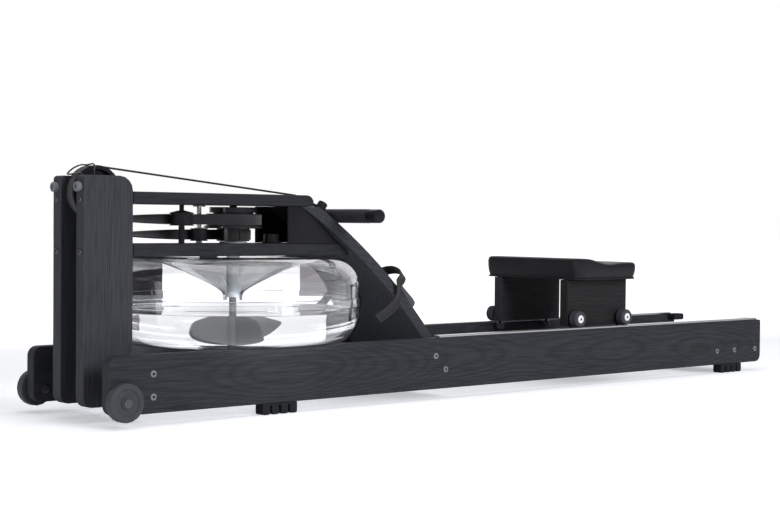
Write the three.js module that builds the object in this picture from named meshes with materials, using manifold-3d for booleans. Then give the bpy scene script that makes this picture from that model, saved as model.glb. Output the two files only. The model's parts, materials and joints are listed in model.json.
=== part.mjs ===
import * as THREE from "three";
import { mergeVertices } from "three/addons/utils/BufferGeometryUtils.js";
import Module from "manifold-3d";

// Water rowing machine
// Units are millimetres. While it is built, X is measured from the front end of the rails towards the
// seat, Y from the middle plane (the near side is minus) and Z up from the floor. At the end the whole
// machine is moved along X, so that its origin lies on the floor under the middle of its length.

const wasm = await Module();
wasm.setup();

// Shared fits
const gap = 0.3;
const runningGap = 0.4;
const overrun = 6;
const easedEdge = 2;
const smallEase = 0.8;
const pointTolerance = 1e-4;

// Smoothness of round work, in steps
const cornerSteps = 4;
const fineSteps = 32;
const wheelSteps = 20;
const smallSteps = 14;
const shellSteps = 6;
const pinSteps = 12;

// Rails and their light metal tracks
const railLength = 2096;
const railHeight = 117;
const railThickness = 28;
const railSpan = 332.6;
const railFrontRadius = 20;
const railRearRadius = 18;
const railTopRearRadius = 4;
const trackHeight = 5;
const trackWidth = 20;
const trackBoardOverlap = 1.1;
const trackEndMargin = 14;

// Feet with rubber lobes
const footHeight = 23.5;
const footPlateHeight = 4;
const footLobes = 4;
const footLobeLength = 18.5;
const footSlot = 5.3;
const footLobeRadius = 5;
const footWidth = 27;
const frontFootStart = 368;
const rearFootInset = 177.5;

// Uprights and the board across the front
const uprightFront = 3.3;
const uprightDepth = 113.2;
const uprightBottom = 30.4;
const uprightHeight = 464;
const uprightThickness = 31.5;
const uprightGap = 62;
const uprightRearRadius = 30;
const uprightFrontRadius = 8;
const uprightBottomRadius = 20;
const crossBoardThickness = 28;
const crossBoardBottom = 35;
const crossBoardHeight = 93;

// Decks and side plates
const lowerDeckThickness = 26.5;
const deckSpacing = 81.5;
const upperDeckThickness = 25;
const upperDeckInset = 12.8;
const upperDeckRearRadius = 18;
const sidePlateFromShaft = 103;
const sidePlateThickness = 5;

// Curved footboard
const footboardBehindTank = 77.05;
const footboardMiddleZ = 290.74;
const footboardMiddleDegrees = 42;
const footboardRadius = 977;
const footboardThickness = 28;
const footboardBottom = 45;
const footboardNarrowZ = 445;
const footboardSteps = 16;

// Rear spreader board
const spreaderInset = 224;
const spreaderLength = 130;
const spreaderThickness = 28;
const spreaderBottom = 47;

// Tank
const tankFrontGap = 11.5;
const tankRadius = 278;
const tankHeight = 189;
const tankWall = 4;
const tankShoulder = 66;
const tankFootRadius = 63;
const seamLow = 223;
const seamHigh = 243;
const seamProud = 3;
const rimInset = 1;
const funnelMouth = 165;
const funnelNeck = 17;
const funnelNeckZ = 233;
const funnelSteps = 8;
const funnelConeShare = 0.72;
const funnelFlareShare = 0.15;

// Shaft, bearing tube and paddle
const shaftRadius = 8;
const bearingOuter = 14;
const bearingFlangeRadius = 30;
const bearingFlangeHeight = 3.4;
const bearingBottom = 240;
const paddleFloorGap = 6;
const paddleHub = 13;
const paddleRadius = 92;
const paddleTopRadius = 20;
const paddleBottomRadius = 38;
const paddleWideZ = 190;
const paddleTopZ = 209;
const paddleThickness = 5;
const paddleBlades = 4;

// Clutch drum
const hubRadius = 36;
const hubBottom = 361.5;
const hubHeight = 27.5;
const drumFlangeRadius = 64;
const drumFlangeHeight = 6;
const drumRadius = 59;
const drumHeight = 26;
const drumNeckRadius = 44;
const drumNeckHeight = 2;
const drumCapRadius = 52;
const drumCapHeight = 12;

// Webbing
const strapWidth = 22;
const strapThickness = 2.4;
const strapStepDegrees = 8;
const twistSteps = 8;
const drumWrapDegrees = 235;
const hubWrapDegrees = 200;
const handleWrapDegrees = -40;
const anchorShare = 1 / 3;

// Front strap pulley, its axle and the wire strap keeper
const pulleyX = 61;
const pulleyZ = 461;
const pulleyGroove = 52;
const pulleyFlange = 55;
const pulleyFlangeWidth = 2.5;
const strapSideGap = 1.2;
const pulleyHubRadius = 13;
const pulleyWebWidth = 8;
const pulleyRimDepth = 5;
const axleRadius = 6;
const axleDepth = 12;
const keeperWire = 3.4;
const keeperRadius = 57.4;
const keeperStartDegrees = 106;
const keeperEndDegrees = 140;
const keeperFoot = 10;
const keeperBends = 44;
const keeperSides = 3;

// Recoil pulley between the uprights
const recoilX = 84;
const recoilZ = 349;
const recoilGroove = 25;
const recoilFlange = 28;
const recoilBore = 3;

// Idler rollers under the upper deck and the speed sensor
const upperIdlerFromShaft = 149.5;
const upperIdlerRadius = 23.5;
const upperIdlerFlange = 26;
const upperIdlerHeight = 27;
const upperIdlerCone = 5;
const lowerIdlerFromShaft = 83;
const lowerIdlerRadius = 17.5;
const lowerIdlerFlange = 19;
const lowerIdlerHeight = 27;
const idlerFlangeWidth = 2;
const idlerPinRadius = 5;
const idlerStemRadius = 6.5;
const sensorFromShaft = 89;
const sensorY = -20;
const sensorRadius = 17;
const sensorHeight = 20;
const sensorFlangeRadius = 22;
const sensorFlangeHeight = 4;

// Rubber buffers on the fronts of the uprights
const bufferRadius = 10;
const bufferLength = 10.5;
const bufferZ = 471;
const bufferRecessRadius = 4;
const bufferRecess = 3;

// Handle and the pegs above it, with their places along the footboard from the middle of its curve
const handleRadius = 15.5;
const handleLength = 423;
const handleCapLength = 38;
const handleCapStep = 0.5;
const handleEndRadius = 5;
const handleEndShare = 1 / 3;
const handleAlong = 168.85;
const pegAlong = 212;
const pegRadius = 11;
const pegLength = 18;
const pegSpacing = 104;

// Foot straps and heel rests on the footboard
const heelSpacing = 128;
const heelAlong = -75;
const heelLength = 62;
const heelWidth = 102;
const heelPlate = 4;
const heelRise = 15;
const heelFrontRise = 7;
const heelBackRise = 9;
const heelCrest = 12;
const heelWall = 5;
const footStrapSpacing = 158;
const footStrapWidth = 24;
const footStrapThickness = 2.4;
const footStrapAlong = -23.9;
const footStrapRise = 34;
const footStrapSpan = 78;
const footStrapTail = 100;
const footStrapSlant = 9;
const footStrapSteps = 16;

// The strap's hanging tail, as shares of its length: downhill, down
const tailRouteShares = [[0.3, 0.2], [0.36, 0.45], [0.34, 0.72], [0.27, 1]];

// Seat
const seatStart = 1335.8;
const seatBoardLength = 223.7;
const seatBoardThickness = 28;
const seatBoardInner = 103.1;
const seatBoardBottom = 148;
const seatBoardHeight = 116;
const padFront = 1334.5;
const padLength = 231;
const padWidth = 341;
const padEdgeHeight = 43.5;
const padCrown = 10.5;
const padSaddle = 4;
const padCornerRadius = 28;
const padCornerSteps = 5;
const padLip = 5;
const padSkirtInset = 3;

// Steps of the cushion's top, as shares of its length from its middle, and of its rings
const padRiseStartShare = -0.08;
const padRiseEndShare = -0.32;
const padDipShare = 0.05;
const padDipWidthShare = 0.12;
const padMiddleShare = 0.4;
const padTopShares = [0.82, 0.62, 0.42, 0.22];

// Rollers on the rails and guide wheels between them
const rollerRadius = 20;
const rollerWidth = 24;
const rollerFrontX = 1354;
const rollerBase = 176.6;
const rollerBoardGap = 5.3;
const rollerRimInset = 2;
const rollerPinRadius = 4;
const guideRadius = 12;
const guideHeight = 14;
const guideBottom = 127.5;
const guidePinRadius = 3.5;
const guideRailGap = 0.4;

// Rubber stops at the rear of the rails
const stopInset = 34;
const stopLength = 42;
const stopWidth = 26;
const stopHeight = 18;
const stopTop = 144;
const stopCornerRadius = 5;

// Transport wheels
const wheelX = 27.4;
const wheelZ = 51.3;
const wheelRadius = 38.5;
const wheelWidth = 22;
const wheelRailGap = 2.6;
const wheelTreadInset = 2.5;
const wheelDish = 3;
const wheelDishRadius = 28;
const wheelHubRadius = 13;
const wheelAxleRadius = 5;
const wheelAxleHeadRadius = 9;
const wheelAxleHeadHeight = 4;

// Heights and faces that follow from the sizes above
const railBottom = footHeight + gap;
const railTop = railBottom + railHeight;
const railOuter = railSpan / 2;
const railInner = railOuter - railThickness;
const railMiddle = (railOuter + railInner) / 2;
const trackTop = railTop + gap + trackHeight;
const tankBottom = railTop + gap;
const tankTop = tankBottom + tankHeight;
const lowerDeckBottom = tankTop + gap;
const lowerDeckTop = lowerDeckBottom + lowerDeckThickness;
const upperDeckBottom = lowerDeckTop + deckSpacing;
const upperDeckTop = upperDeckBottom + upperDeckThickness;
const uprightInner = uprightGap / 2;
const deckHalfWidth = uprightInner + uprightThickness;
const uprightRear = uprightFront + uprightDepth;
const crossBoardStart = uprightRear - crossBoardThickness;
const strapHalf = strapThickness / 2;
const tankX = uprightRear + tankFrontGap + tankRadius;
const upperIdlerX = tankX - upperIdlerFromShaft;
const lowerIdlerX = tankX - lowerIdlerFromShaft;
const sensorX = tankX + sensorFromShaft;
const sidePlateFront = tankX + sidePlateFromShaft;
const rearFootStart = railLength - rearFootInset;
const spreaderStart = railLength - spreaderInset;
const stopStart = railLength - stopInset;

// The footboard's curve, whose middle keeps its place behind the tank, and what butts against it
const footboardMiddle = THREE.MathUtils.degToRad(footboardMiddleDegrees);
const footboardMiddleX = tankX + tankRadius + footboardBehindTank;
const footboardCentreX = footboardMiddleX - footboardRadius * Math.cos(footboardMiddle);
const footboardCentreZ = footboardMiddleZ - footboardRadius * Math.sin(footboardMiddle);
const handleDegrees = alongFootboard(handleAlong);
const pegDegrees = alongFootboard(pegAlong);
const heelDegrees = alongFootboard(heelAlong);
const footStrapDegrees = alongFootboard(footStrapAlong);
const upperDeckRear = footboardFaceX(upperDeckBottom) - upperDeckInset;
const trackStart = footboardFaceX(railTop) - trackBoardOverlap;

// The angle on the footboard's circle at a distance up the board from its middle
function alongFootboard(distance) {
  return footboardMiddleDegrees + THREE.MathUtils.radToDeg(distance / footboardRadius);
}

// Where the footboard's face is at a height
function footboardFaceX(z) {
  return footboardCentreX + Math.sqrt(footboardRadius ** 2 - (z - footboardCentreZ) ** 2);
}

// Routes of the webbing in plan: the drive strap passes the far side of the upper idler and runs onto
// the near side of the drum, and the recoil strap runs past the lower idler onto the far side of the hub
const idlerReach = upperIdlerRadius + gap + strapHalf;
const drumReach = drumRadius + gap + strapHalf;
const hubReach = hubRadius + gap + strapHalf;
const upperIdlerY = -idlerReach;
const driveRun = straightRun([upperIdlerX, upperIdlerY], idlerReach, 1, [tankX, 0], drumReach, -1);
const recoilRun = straightRun([recoilX, 0], 0, 1, [tankX, 0], hubReach, 1);

// Levels of the webbing's middle on the drum and on its hub, and of the idlers that guide it
const drumBottom = hubBottom + hubHeight + drumFlangeHeight;
const drumTop = drumBottom + drumHeight;
const strapLevel = (drumBottom + drumTop) / 2;
const recoilLevel = hubBottom + hubHeight / 2;
const upperIdlerBottom = strapLevel - upperIdlerHeight / 2;
const lowerIdlerBottom = recoilLevel - lowerIdlerHeight / 2;

// The point of a run at a given X
function pointOnRun(run, x) {
  return run.start.clone().lerp(run.end, (x - run.start.x) / (run.end.x - run.start.x));
}

const lowerIdlerReach = (lowerIdlerRadius + gap + strapHalf) * recoilRun.start.distanceTo(recoilRun.end);
const recoilRunLength = recoilRun.end.x - recoilRun.start.x;
const lowerIdlerY = pointOnRun(recoilRun, lowerIdlerX).y - lowerIdlerReach / recoilRunLength;

// Materials

function finish(color, roughness, metalness) {
  return new THREE.MeshStandardMaterial({ color, roughness, metalness });
}

const stainedAsh = finish(0x2b2c31, 0.5, 0);
const blackPlastic = finish(0x1a1b1e, 0.45, 0);
const blackRubber = finish(0x141416, 0.8, 0);
const greyRubber = finish(0x8b8d92, 0.7, 0);
const clearPlastic = finish(0xdfe6ee, 0.05, 0);
const anodised = finish(0xd9dcdf, 0.3, 1);
const steel = finish(0xc0c3c6, 0.25, 1);
const webbing = finish(0x1c1d20, 0.9, 0);
const padSkin = finish(0x232428, 0.6, 0);
const greyPlastic = finish(0x77797f, 0.5, 0);

const machine = new THREE.Group();

// Geometry helpers

// A geometry with its shared points joined, no empty triangles and its faces turned outwards
function closed(geometry) {
  const bare = geometry.clone();
  for (const attribute of ["normal", "uv"]) {
    bare.deleteAttribute(attribute);
  }
  const joined = mergeVertices(bare, pointTolerance);
  const place = joined.attributes.position;
  const corner = [new THREE.Vector3(), new THREE.Vector3(), new THREE.Vector3()];
  const triangles = [];
  let volume = 0;
  for (let i = 0; i < joined.index.count; i += 3) {
    const [a, b, c] = [joined.index.getX(i), joined.index.getX(i + 1), joined.index.getX(i + 2)];
    if (a === b || b === c || c === a) {
      continue;
    }
    triangles.push([a, b, c]);
    corner[0].fromBufferAttribute(place, a);
    corner[1].fromBufferAttribute(place, b);
    corner[2].fromBufferAttribute(place, c);
    volume += corner[0].dot(corner[1].cross(corner[2]));
  }
  const turned = volume < 0 ? triangles.map(([a, b, c]) => [a, c, b]) : triangles;
  joined.setIndex(turned.flat());
  return joined;
}

function toManifold(geometry) {
  const body = closed(geometry);
  return new wasm.Manifold(
    new wasm.Mesh({
      numProp: 3,
      vertProperties: new Float32Array(body.attributes.position.array),
      triVerts: new Uint32Array(body.index.array),
    }),
  );
}

function fromManifold(manifold) {
  const result = manifold.getMesh();
  const geometry = new THREE.BufferGeometry();
  geometry.setAttribute("position", new THREE.BufferAttribute(result.vertProperties, 3));
  geometry.setIndex(new THREE.BufferAttribute(result.triVerts, 1));
  return geometry;
}

function cutAway(geometry, cutters) {
  const whole = toManifold(geometry);
  return fromManifold(cutters.reduce((body, cutter) => body.subtract(toManifold(cutter)), whole));
}

function joinTo(geometry, additions) {
  const whole = toManifold(geometry);
  return fromManifold(additions.reduce((body, piece) => body.add(toManifold(piece)), whole));
}

function commonTo(geometry, other) {
  return fromManifold(toManifold(geometry).intersect(toManifold(other)));
}

function place(name, geometry, material, x = 0, y = 0, z = 0) {
  const shown = closed(geometry);
  shown.computeVertexNormals();
  const mesh = new THREE.Mesh(shown, material);
  mesh.name = name;
  mesh.position.set(x, y, z);
  machine.add(mesh);
  return mesh;
}

// A closed outline through corners given as [across, up, radius]
function outline(corners, steps = cornerSteps) {
  const points = [];
  corners.forEach(([x, y, radius], i) => {
    const here = new THREE.Vector2(x, y);
    if (!radius) {
      points.push(here);
      return;
    }
    const before = corners[(i + corners.length - 1) % corners.length];
    const after = corners[(i + 1) % corners.length];
    const back = new THREE.Vector2(before[0] - x, before[1] - y).normalize();
    const on = new THREE.Vector2(after[0] - x, after[1] - y).normalize();
    const half = Math.acos(back.dot(on)) / 2;
    const centre = back.clone().add(on).normalize().multiplyScalar(radius / Math.sin(half)).add(here);
    const start = here.clone().addScaledVector(back, radius / Math.tan(half)).sub(centre);
    const end = here.clone().addScaledVector(on, radius / Math.tan(half)).sub(centre);
    const turn = Math.atan2(start.cross(end), start.dot(end));
    for (let k = 0; k <= steps; k += 1) {
      const spoke = start.clone().rotateAround(new THREE.Vector2(), (turn * k) / steps);
      points.push(spoke.add(centre));
    }
  });
  return new THREE.Shape(points);
}

function extruded(shape, depth, eased) {
  const geometry = new THREE.ExtrudeGeometry(shape, {
    depth: depth - 2 * eased,
    bevelEnabled: eased > 0,
    bevelThickness: eased,
    bevelSize: eased,
    bevelOffset: -eased,
    bevelSegments: 1,
    curveSegments: cornerSteps,
  });
  geometry.translate(0, 0, eased);
  return geometry;
}

// A board with its outline in X and Z, from yLow to yHigh
function sideBoard(shape, yLow, yHigh, eased = 0) {
  const geometry = extruded(shape, yHigh - yLow, eased);
  geometry.rotateX(Math.PI / 2);
  geometry.translate(0, yHigh, 0);
  return geometry;
}

// A board with its outline in Y and Z, from xLow to xHigh
function crossBoard(shape, xLow, xHigh, eased = 0) {
  const geometry = extruded(shape, xHigh - xLow, eased);
  const turn = new THREE.Matrix4().makeBasis(
    new THREE.Vector3(0, 1, 0),
    new THREE.Vector3(0, 0, 1),
    new THREE.Vector3(1, 0, 0),
  );
  geometry.applyMatrix4(turn);
  geometry.translate(xLow, 0, 0);
  return geometry;
}

function rectangle(x0, y0, x1, y1, radius = 0) {
  return outline([
    [x0, y0, radius],
    [x1, y0, radius],
    [x1, y1, radius],
    [x0, y1, radius],
  ]);
}

function rodX(radius, length, steps, x, y, z) {
  return new THREE.CylinderGeometry(radius, radius, length, steps).rotateZ(Math.PI / 2).translate(x, y, z);
}

function rodY(radius, length, steps, x, y, z) {
  return new THREE.CylinderGeometry(radius, radius, length, steps).translate(x, y, z);
}

function rodZ(radius, length, steps, x, y, z) {
  return new THREE.CylinderGeometry(radius, radius, length, steps).rotateX(Math.PI / 2).translate(x, y, z);
}

// A turned body about Y from a closed profile of [radius, height] points
function turnedY(profile, steps) {
  const points = profile.map(([radius, height]) => new THREE.Vector2(radius, height));
  points.push(points[0].clone());
  return new THREE.LatheGeometry(points, steps);
}

function turnedZ(profile, steps) {
  return turnedY(profile, steps).rotateX(Math.PI / 2);
}

// Points of a round stretch of an outline, as [across, up], between two angles in degrees
function arcPoints(centre, radius, startDegrees, endDegrees, steps) {
  const points = [];
  for (let k = 0; k <= steps; k += 1) {
    const angle = THREE.MathUtils.degToRad(startDegrees + ((endDegrees - startDegrees) * k) / steps);
    points.push([centre[0] + radius * Math.cos(angle), centre[1] + radius * Math.sin(angle)]);
  }
  return points;
}

// A flat band through stations of { point, width }, where width is the unit vector across the band
function band(stations, bandWidth, bandThickness) {
  const vertices = [];
  const triangles = [];
  stations.forEach(({ point, width }, i) => {
    const before = stations[Math.max(i - 1, 0)].point;
    const after = stations[Math.min(i + 1, stations.length - 1)].point;
    const along = after.clone().sub(before).normalize();
    const up = along.clone().cross(width).normalize();
    for (const [a, b] of [[-1, -1], [1, -1], [1, 1], [-1, 1]]) {
      const corner = point.clone().addScaledVector(width, (a * bandWidth) / 2);
      corner.addScaledVector(up, (b * bandThickness) / 2);
      vertices.push(corner.x, corner.y, corner.z);
    }
  });
  for (let i = 0; i + 1 < stations.length; i += 1) {
    for (let k = 0; k < 4; k += 1) {
      const [a, b] = [4 * i + k, 4 * i + ((k + 1) % 4)];
      triangles.push(a, b, a + 4, b, b + 4, a + 4);
    }
  }
  const last = 4 * (stations.length - 1);
  triangles.push(0, 2, 1, 0, 3, 2, last, last + 1, last + 2, last, last + 2, last + 3);
  const geometry = new THREE.BufferGeometry();
  geometry.setAttribute("position", new THREE.Float32BufferAttribute(vertices, 3));
  geometry.setIndex(triangles);
  return geometry;
}

// Touching points of a straight run between two circles of one plane. A side of 1 puts the run on the
// left of a circle's centre, seen along the run, and -1 on its right.
function straightRun(first, firstRadius, firstSide, second, secondRadius, secondSide) {
  const from = new THREE.Vector2(...first);
  const to = new THREE.Vector2(...second);
  const reach = from.distanceTo(to);
  const along = to.clone().sub(from).divideScalar(reach);
  const lean = (firstSide * firstRadius - secondSide * secondRadius) / reach;
  const left = new THREE.Vector2(-along.y, along.x).multiplyScalar(Math.sqrt(1 - lean * lean));
  const normal = along.clone().multiplyScalar(lean).add(left);
  return {
    start: from.clone().addScaledVector(normal, firstSide * firstRadius),
    end: to.clone().addScaledVector(normal, secondSide * secondRadius),
    startDegrees: THREE.MathUtils.radToDeg(Math.atan2(normal.y * firstSide, normal.x * firstSide)),
    endDegrees: THREE.MathUtils.radToDeg(Math.atan2(normal.y * secondSide, normal.x * secondSide)),
  };
}

function sides(build) {
  build("near", -1);
  build("far", 1);
}

// The lower and upper Y of a board that lies between two distances from the middle plane
function spanOnSide(side, inner, outer) {
  return side > 0 ? [inner, outer] : [-outer, -inner];
}

// Rails, tracks and feet

function buildRail(name, side) {
  const shape = outline([
    [0, railBottom, railFrontRadius],
    [railLength, railBottom, railRearRadius],
    [railLength, railTop, railTopRearRadius],
    [0, railTop, railFrontRadius],
  ]);
  const [low, high] = spanOnSide(side, railInner, railOuter);
  const holeLength = railThickness + overrun;
  const axleHole = rodY(wheelAxleRadius + gap, holeLength, pinSteps, wheelX, side * railMiddle, wheelZ);
  place(`${name}_rail`, cutAway(sideBoard(shape, low, high, easedEdge), [axleHole]), stainedAsh);
}

function buildTrack(name, side) {
  const shape = rectangle(trackStart, railTop + gap, railLength - trackEndMargin, trackTop);
  const [low, high] = spanOnSide(side, railMiddle - trackWidth / 2, railMiddle + trackWidth / 2);
  place(`${name}_track`, sideBoard(shape, low, high, smallEase), anodised);
}

const footLength = footLobes * footLobeLength + (footLobes - 1) * footSlot;

function buildFoot(name, side, start) {
  const corners = [];
  for (let i = 0; i < footLobes; i += 1) {
    const left = start + i * (footLobeLength + footSlot);
    const right = left + footLobeLength;
    corners.push([left, 0, footLobeRadius], [right, 0, footLobeRadius]);
    if (i + 1 < footLobes) {
      corners.push([right, footHeight - footPlateHeight, 0]);
      corners.push([right + footSlot, footHeight - footPlateHeight, 0]);
    }
  }
  corners.push([start + footLength, footHeight, 0], [start, footHeight, 0]);
  const [low, high] = spanOnSide(side, railMiddle - footWidth / 2, railMiddle + footWidth / 2);
  place(`${name}_foot`, sideBoard(outline(corners), low, high), blackRubber);
}

// Front frame

const pulleyAxleLength = uprightGap + 2 * axleDepth - 2 * gap;

function buildUpright(name, side) {
  const shape = outline([
    [uprightFront, uprightBottom, uprightBottomRadius],
    [uprightRear, uprightBottom, uprightBottomRadius],
    [uprightRear, uprightBottom + uprightHeight, uprightRearRadius],
    [uprightFront, uprightBottom + uprightHeight, uprightFrontRadius],
  ]);
  const [low, high] = spanOnSide(side, uprightInner, uprightInner + uprightThickness);
  const notchWidth = crossBoardThickness + gap + overrun;
  const notchHeight = crossBoardHeight + 2 * gap;
  const notch = new THREE.BoxGeometry(notchWidth, uprightThickness + overrun, notchHeight);
  notch.translate(
    crossBoardStart - gap + notchWidth / 2,
    side * (uprightInner + uprightThickness / 2),
    crossBoardBottom + crossBoardHeight / 2,
  );
  const bores = [[pulleyX, pulleyZ], [recoilX, recoilZ]].map(([x, z]) =>
    rodY(axleRadius + gap, uprightGap + 2 * axleDepth, pinSteps, x, 0, z),
  );
  place(`${name}_upright`, cutAway(sideBoard(shape, low, high, easedEdge), [notch, ...bores]), stainedAsh);
}

function buildFrontBoard() {
  const half = railInner - gap;
  const shape = rectangle(-half, crossBoardBottom, half, crossBoardBottom + crossBoardHeight);
  place("front_cross_board", crossBoard(shape, crossBoardStart, uprightRear - gap, easedEdge), stainedAsh);
}

function buildBuffer(name, side) {
  const profile = [
    [0, bufferRecess],
    [bufferRecessRadius, bufferRecess],
    [bufferRecessRadius, 0],
    [bufferRadius - smallEase, 0],
    [bufferRadius, smallEase],
    [bufferRadius, bufferLength],
    [0, bufferLength],
  ];
  const geometry = turnedY(profile, smallSteps).rotateZ(-Math.PI / 2);
  const x = uprightFront - gap - bufferLength;
  place(`${name}_buffer`, geometry, greyRubber, x, side * (uprightInner + uprightThickness / 2), bufferZ);
}

// Decks, side plates, footboard and rear spreader

function footboardAngle(radius, z) {
  return THREE.MathUtils.radToDeg(Math.asin((z - footboardCentreZ) / radius));
}

function footboardArc(radius, zLow, zHigh) {
  const centre = [footboardCentreX, footboardCentreZ];
  const lowDegrees = footboardAngle(radius, zLow);
  const highDegrees = footboardAngle(radius, zHigh);
  return arcPoints(centre, radius, lowDegrees, highDegrees, footboardSteps);
}

const footboardTop = upperDeckBottom - gap;
const footboardInnerRadius = footboardRadius - footboardThickness;
const footboardTaper = (railInner - gap - deckHalfWidth) / (footboardNarrowZ - railTop);

function footboardHalfWidth(z) {
  return deckHalfWidth + Math.min(footboardNarrowZ - z, footboardNarrowZ - railTop) * footboardTaper;
}

function buildFootboard() {
  const outer = footboardArc(footboardRadius, footboardBottom, footboardTop);
  const inner = footboardArc(footboardInnerRadius, footboardBottom, footboardTop).reverse();
  const curve = new THREE.Shape([...outer, ...inner].map((p) => new THREE.Vector2(...p)));
  const wide = footboardHalfWidth(railTop);
  const taper = outline([
    [-wide, footboardBottom - overrun, 0],
    [wide, footboardBottom - overrun, 0],
    [wide, railTop, 0],
    [footboardHalfWidth(footboardTop + overrun), footboardTop + overrun, 0],
    [-footboardHalfWidth(footboardTop + overrun), footboardTop + overrun, 0],
    [-wide, railTop, 0],
  ]);
  const board = sideBoard(curve, -railInner, railInner);
  place("footboard", commonTo(board, crossBoard(taper, tankX, railLength)), stainedAsh);
}

// Everything behind the hollow face of the footboard, which trims what butts against that face
function footboardCutter() {
  const inner = footboardArc(footboardInnerRadius - gap - gap / 2, footboardBottom, upperDeckTop);
  const shape = new THREE.Shape([
    ...inner.map((p) => new THREE.Vector2(...p)),
    new THREE.Vector2(railLength, upperDeckTop),
    new THREE.Vector2(railLength, footboardBottom),
  ]);
  return sideBoard(shape, -railInner, railInner);
}

function buildDecks() {
  const front = uprightRear + gap;
  const upper = outline([
    [front, upperDeckBottom, 0],
    [upperDeckRear, upperDeckBottom, 0],
    [upperDeckRear, upperDeckTop, upperDeckRearRadius],
    [front, upperDeckTop, 0],
  ]);
  place("upper_deck", sideBoard(upper, -deckHalfWidth, deckHalfWidth, easedEdge), stainedAsh);
  const lower = rectangle(front, lowerDeckBottom, footboardCentreX + footboardRadius, lowerDeckTop);
  const holeDepth = lowerDeckThickness + overrun;
  const holeMiddle = lowerDeckBottom + lowerDeckThickness / 2;
  const shaftHole = rodZ(bearingOuter + gap, holeDepth, wheelSteps, tankX, 0, holeMiddle);
  const board = sideBoard(lower, -deckHalfWidth, deckHalfWidth, easedEdge);
  place("lower_deck", cutAway(board, [footboardCutter(), shaftHole]), stainedAsh);
}

function buildSidePlate(name, side) {
  const rear = footboardCentreX + footboardRadius;
  const shape = rectangle(sidePlateFront, lowerDeckTop + gap, rear, upperDeckBottom - gap);
  const [low, high] = spanOnSide(side, deckHalfWidth - sidePlateThickness, deckHalfWidth);
  place(`${name}_side_plate`, cutAway(sideBoard(shape, low, high), [footboardCutter()]), blackPlastic);
}

function buildSpreader() {
  const half = railInner - gap;
  const shape = rectangle(-half, spreaderBottom, half, spreaderBottom + spreaderThickness);
  const board = crossBoard(shape, spreaderStart, spreaderStart + spreaderLength, easedEdge);
  place("rear_spreader", board, stainedAsh);
}

// Tank: the upper shell's skirt goes over the rim of the lower shell

const rimTop = seamHigh - tankWall;

function buildLowerShell() {
  const centre = [tankRadius - tankFootRadius, tankBottom + tankFootRadius];
  const outer = arcPoints(centre, tankFootRadius, -90, 0, shellSteps);
  const inner = arcPoints(centre, tankFootRadius - tankWall, 0, -90, shellSteps);
  const profile = [
    [0, tankBottom],
    ...outer,
    [tankRadius, seamLow - gap],
    [tankRadius - rimInset, seamLow - gap],
    [tankRadius - rimInset, rimTop],
    [tankRadius - tankWall, rimTop],
    ...inner,
    [0, tankBottom + tankWall],
  ];
  place("tank_lower_shell", turnedZ(profile, fineSteps), clearPlastic, tankX, 0, 0);
}

// One face of the funnel from its neck to its mouth: a shallow cone that turns down into a steep neck.
// The other face lies a wall's thickness further out at the neck and lower at the mouth.
function funnelPoints(wall) {
  const points = [];
  for (let k = 0; k <= funnelSteps; k += 1) {
    const share = (k / funnelSteps) ** 2;
    const climb = funnelConeShare * share + (1 - funnelConeShare) * share ** funnelFlareShare;
    const radius = funnelNeck + (funnelMouth - funnelNeck) * share;
    const z = funnelNeckZ + (tankTop - funnelNeckZ) * climb;
    points.push([radius + wall * (1 - share), z - wall * share]);
  }
  return points;
}

function buildUpperShell() {
  const centre = [tankRadius - tankShoulder, tankTop - tankShoulder];
  const outer = arcPoints(centre, tankShoulder, 0, 90, shellSteps);
  const inner = arcPoints(centre, tankShoulder - tankWall, 90, 0, shellSteps);
  const top = funnelPoints(0);
  const under = funnelPoints(tankWall);
  const profile = [
    [tankRadius - rimInset + gap, seamLow],
    [tankRadius + seamProud, seamLow],
    [tankRadius + seamProud, seamHigh],
    [tankRadius, seamHigh],
    ...outer,
    ...top.slice(0, -1).reverse(),
    ...under,
    ...inner,
    [tankRadius - tankWall, rimTop + gap],
    [tankRadius - rimInset + gap, rimTop + gap],
  ];
  place("tank_upper_shell", turnedZ(profile, fineSteps), clearPlastic, tankX, 0, 0);
}

// Shaft bearing, paddle and clutch drum

const flangeTop = lowerDeckTop + gap + bearingFlangeHeight;

function buildBearing() {
  const profile = [
    [shaftRadius + runningGap, bearingBottom],
    [bearingOuter, bearingBottom],
    [bearingOuter, lowerDeckTop + gap],
    [bearingFlangeRadius, lowerDeckTop + gap],
    [bearingFlangeRadius, flangeTop],
    [shaftRadius + runningGap, flangeTop],
  ];
  place("shaft_bearing", turnedZ(profile, wheelSteps), blackPlastic, tankX, 0, 0);
}

function buildPaddle() {
  const bottom = tankBottom + tankWall + paddleFloorGap;
  const top = upperDeckBottom - gap;
  const shaft = rodZ(shaftRadius, top - bottom, wheelSteps, 0, 0, (top + bottom) / 2);
  const hub = rodZ(paddleHub, paddleTopZ - bottom, wheelSteps, 0, 0, (paddleTopZ + bottom) / 2);
  const blade = new THREE.Shape([
    new THREE.Vector2(-paddleBottomRadius, bottom),
    new THREE.Vector2(paddleBottomRadius, bottom),
    new THREE.Vector2(paddleRadius, paddleWideZ),
    new THREE.Vector2(paddleTopRadius, paddleTopZ),
    new THREE.Vector2(-paddleTopRadius, paddleTopZ),
    new THREE.Vector2(-paddleRadius, paddleWideZ),
  ]);
  const blades = [];
  for (let i = 0; i < paddleBlades / 2; i += 1) {
    const plate = sideBoard(blade, -paddleThickness / 2, paddleThickness / 2);
    blades.push(plate.rotateZ((i * 2 * Math.PI) / paddleBlades));
  }
  place("paddle", joinTo(shaft, [hub, ...blades]), blackPlastic, tankX, 0, 0);
}

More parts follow.
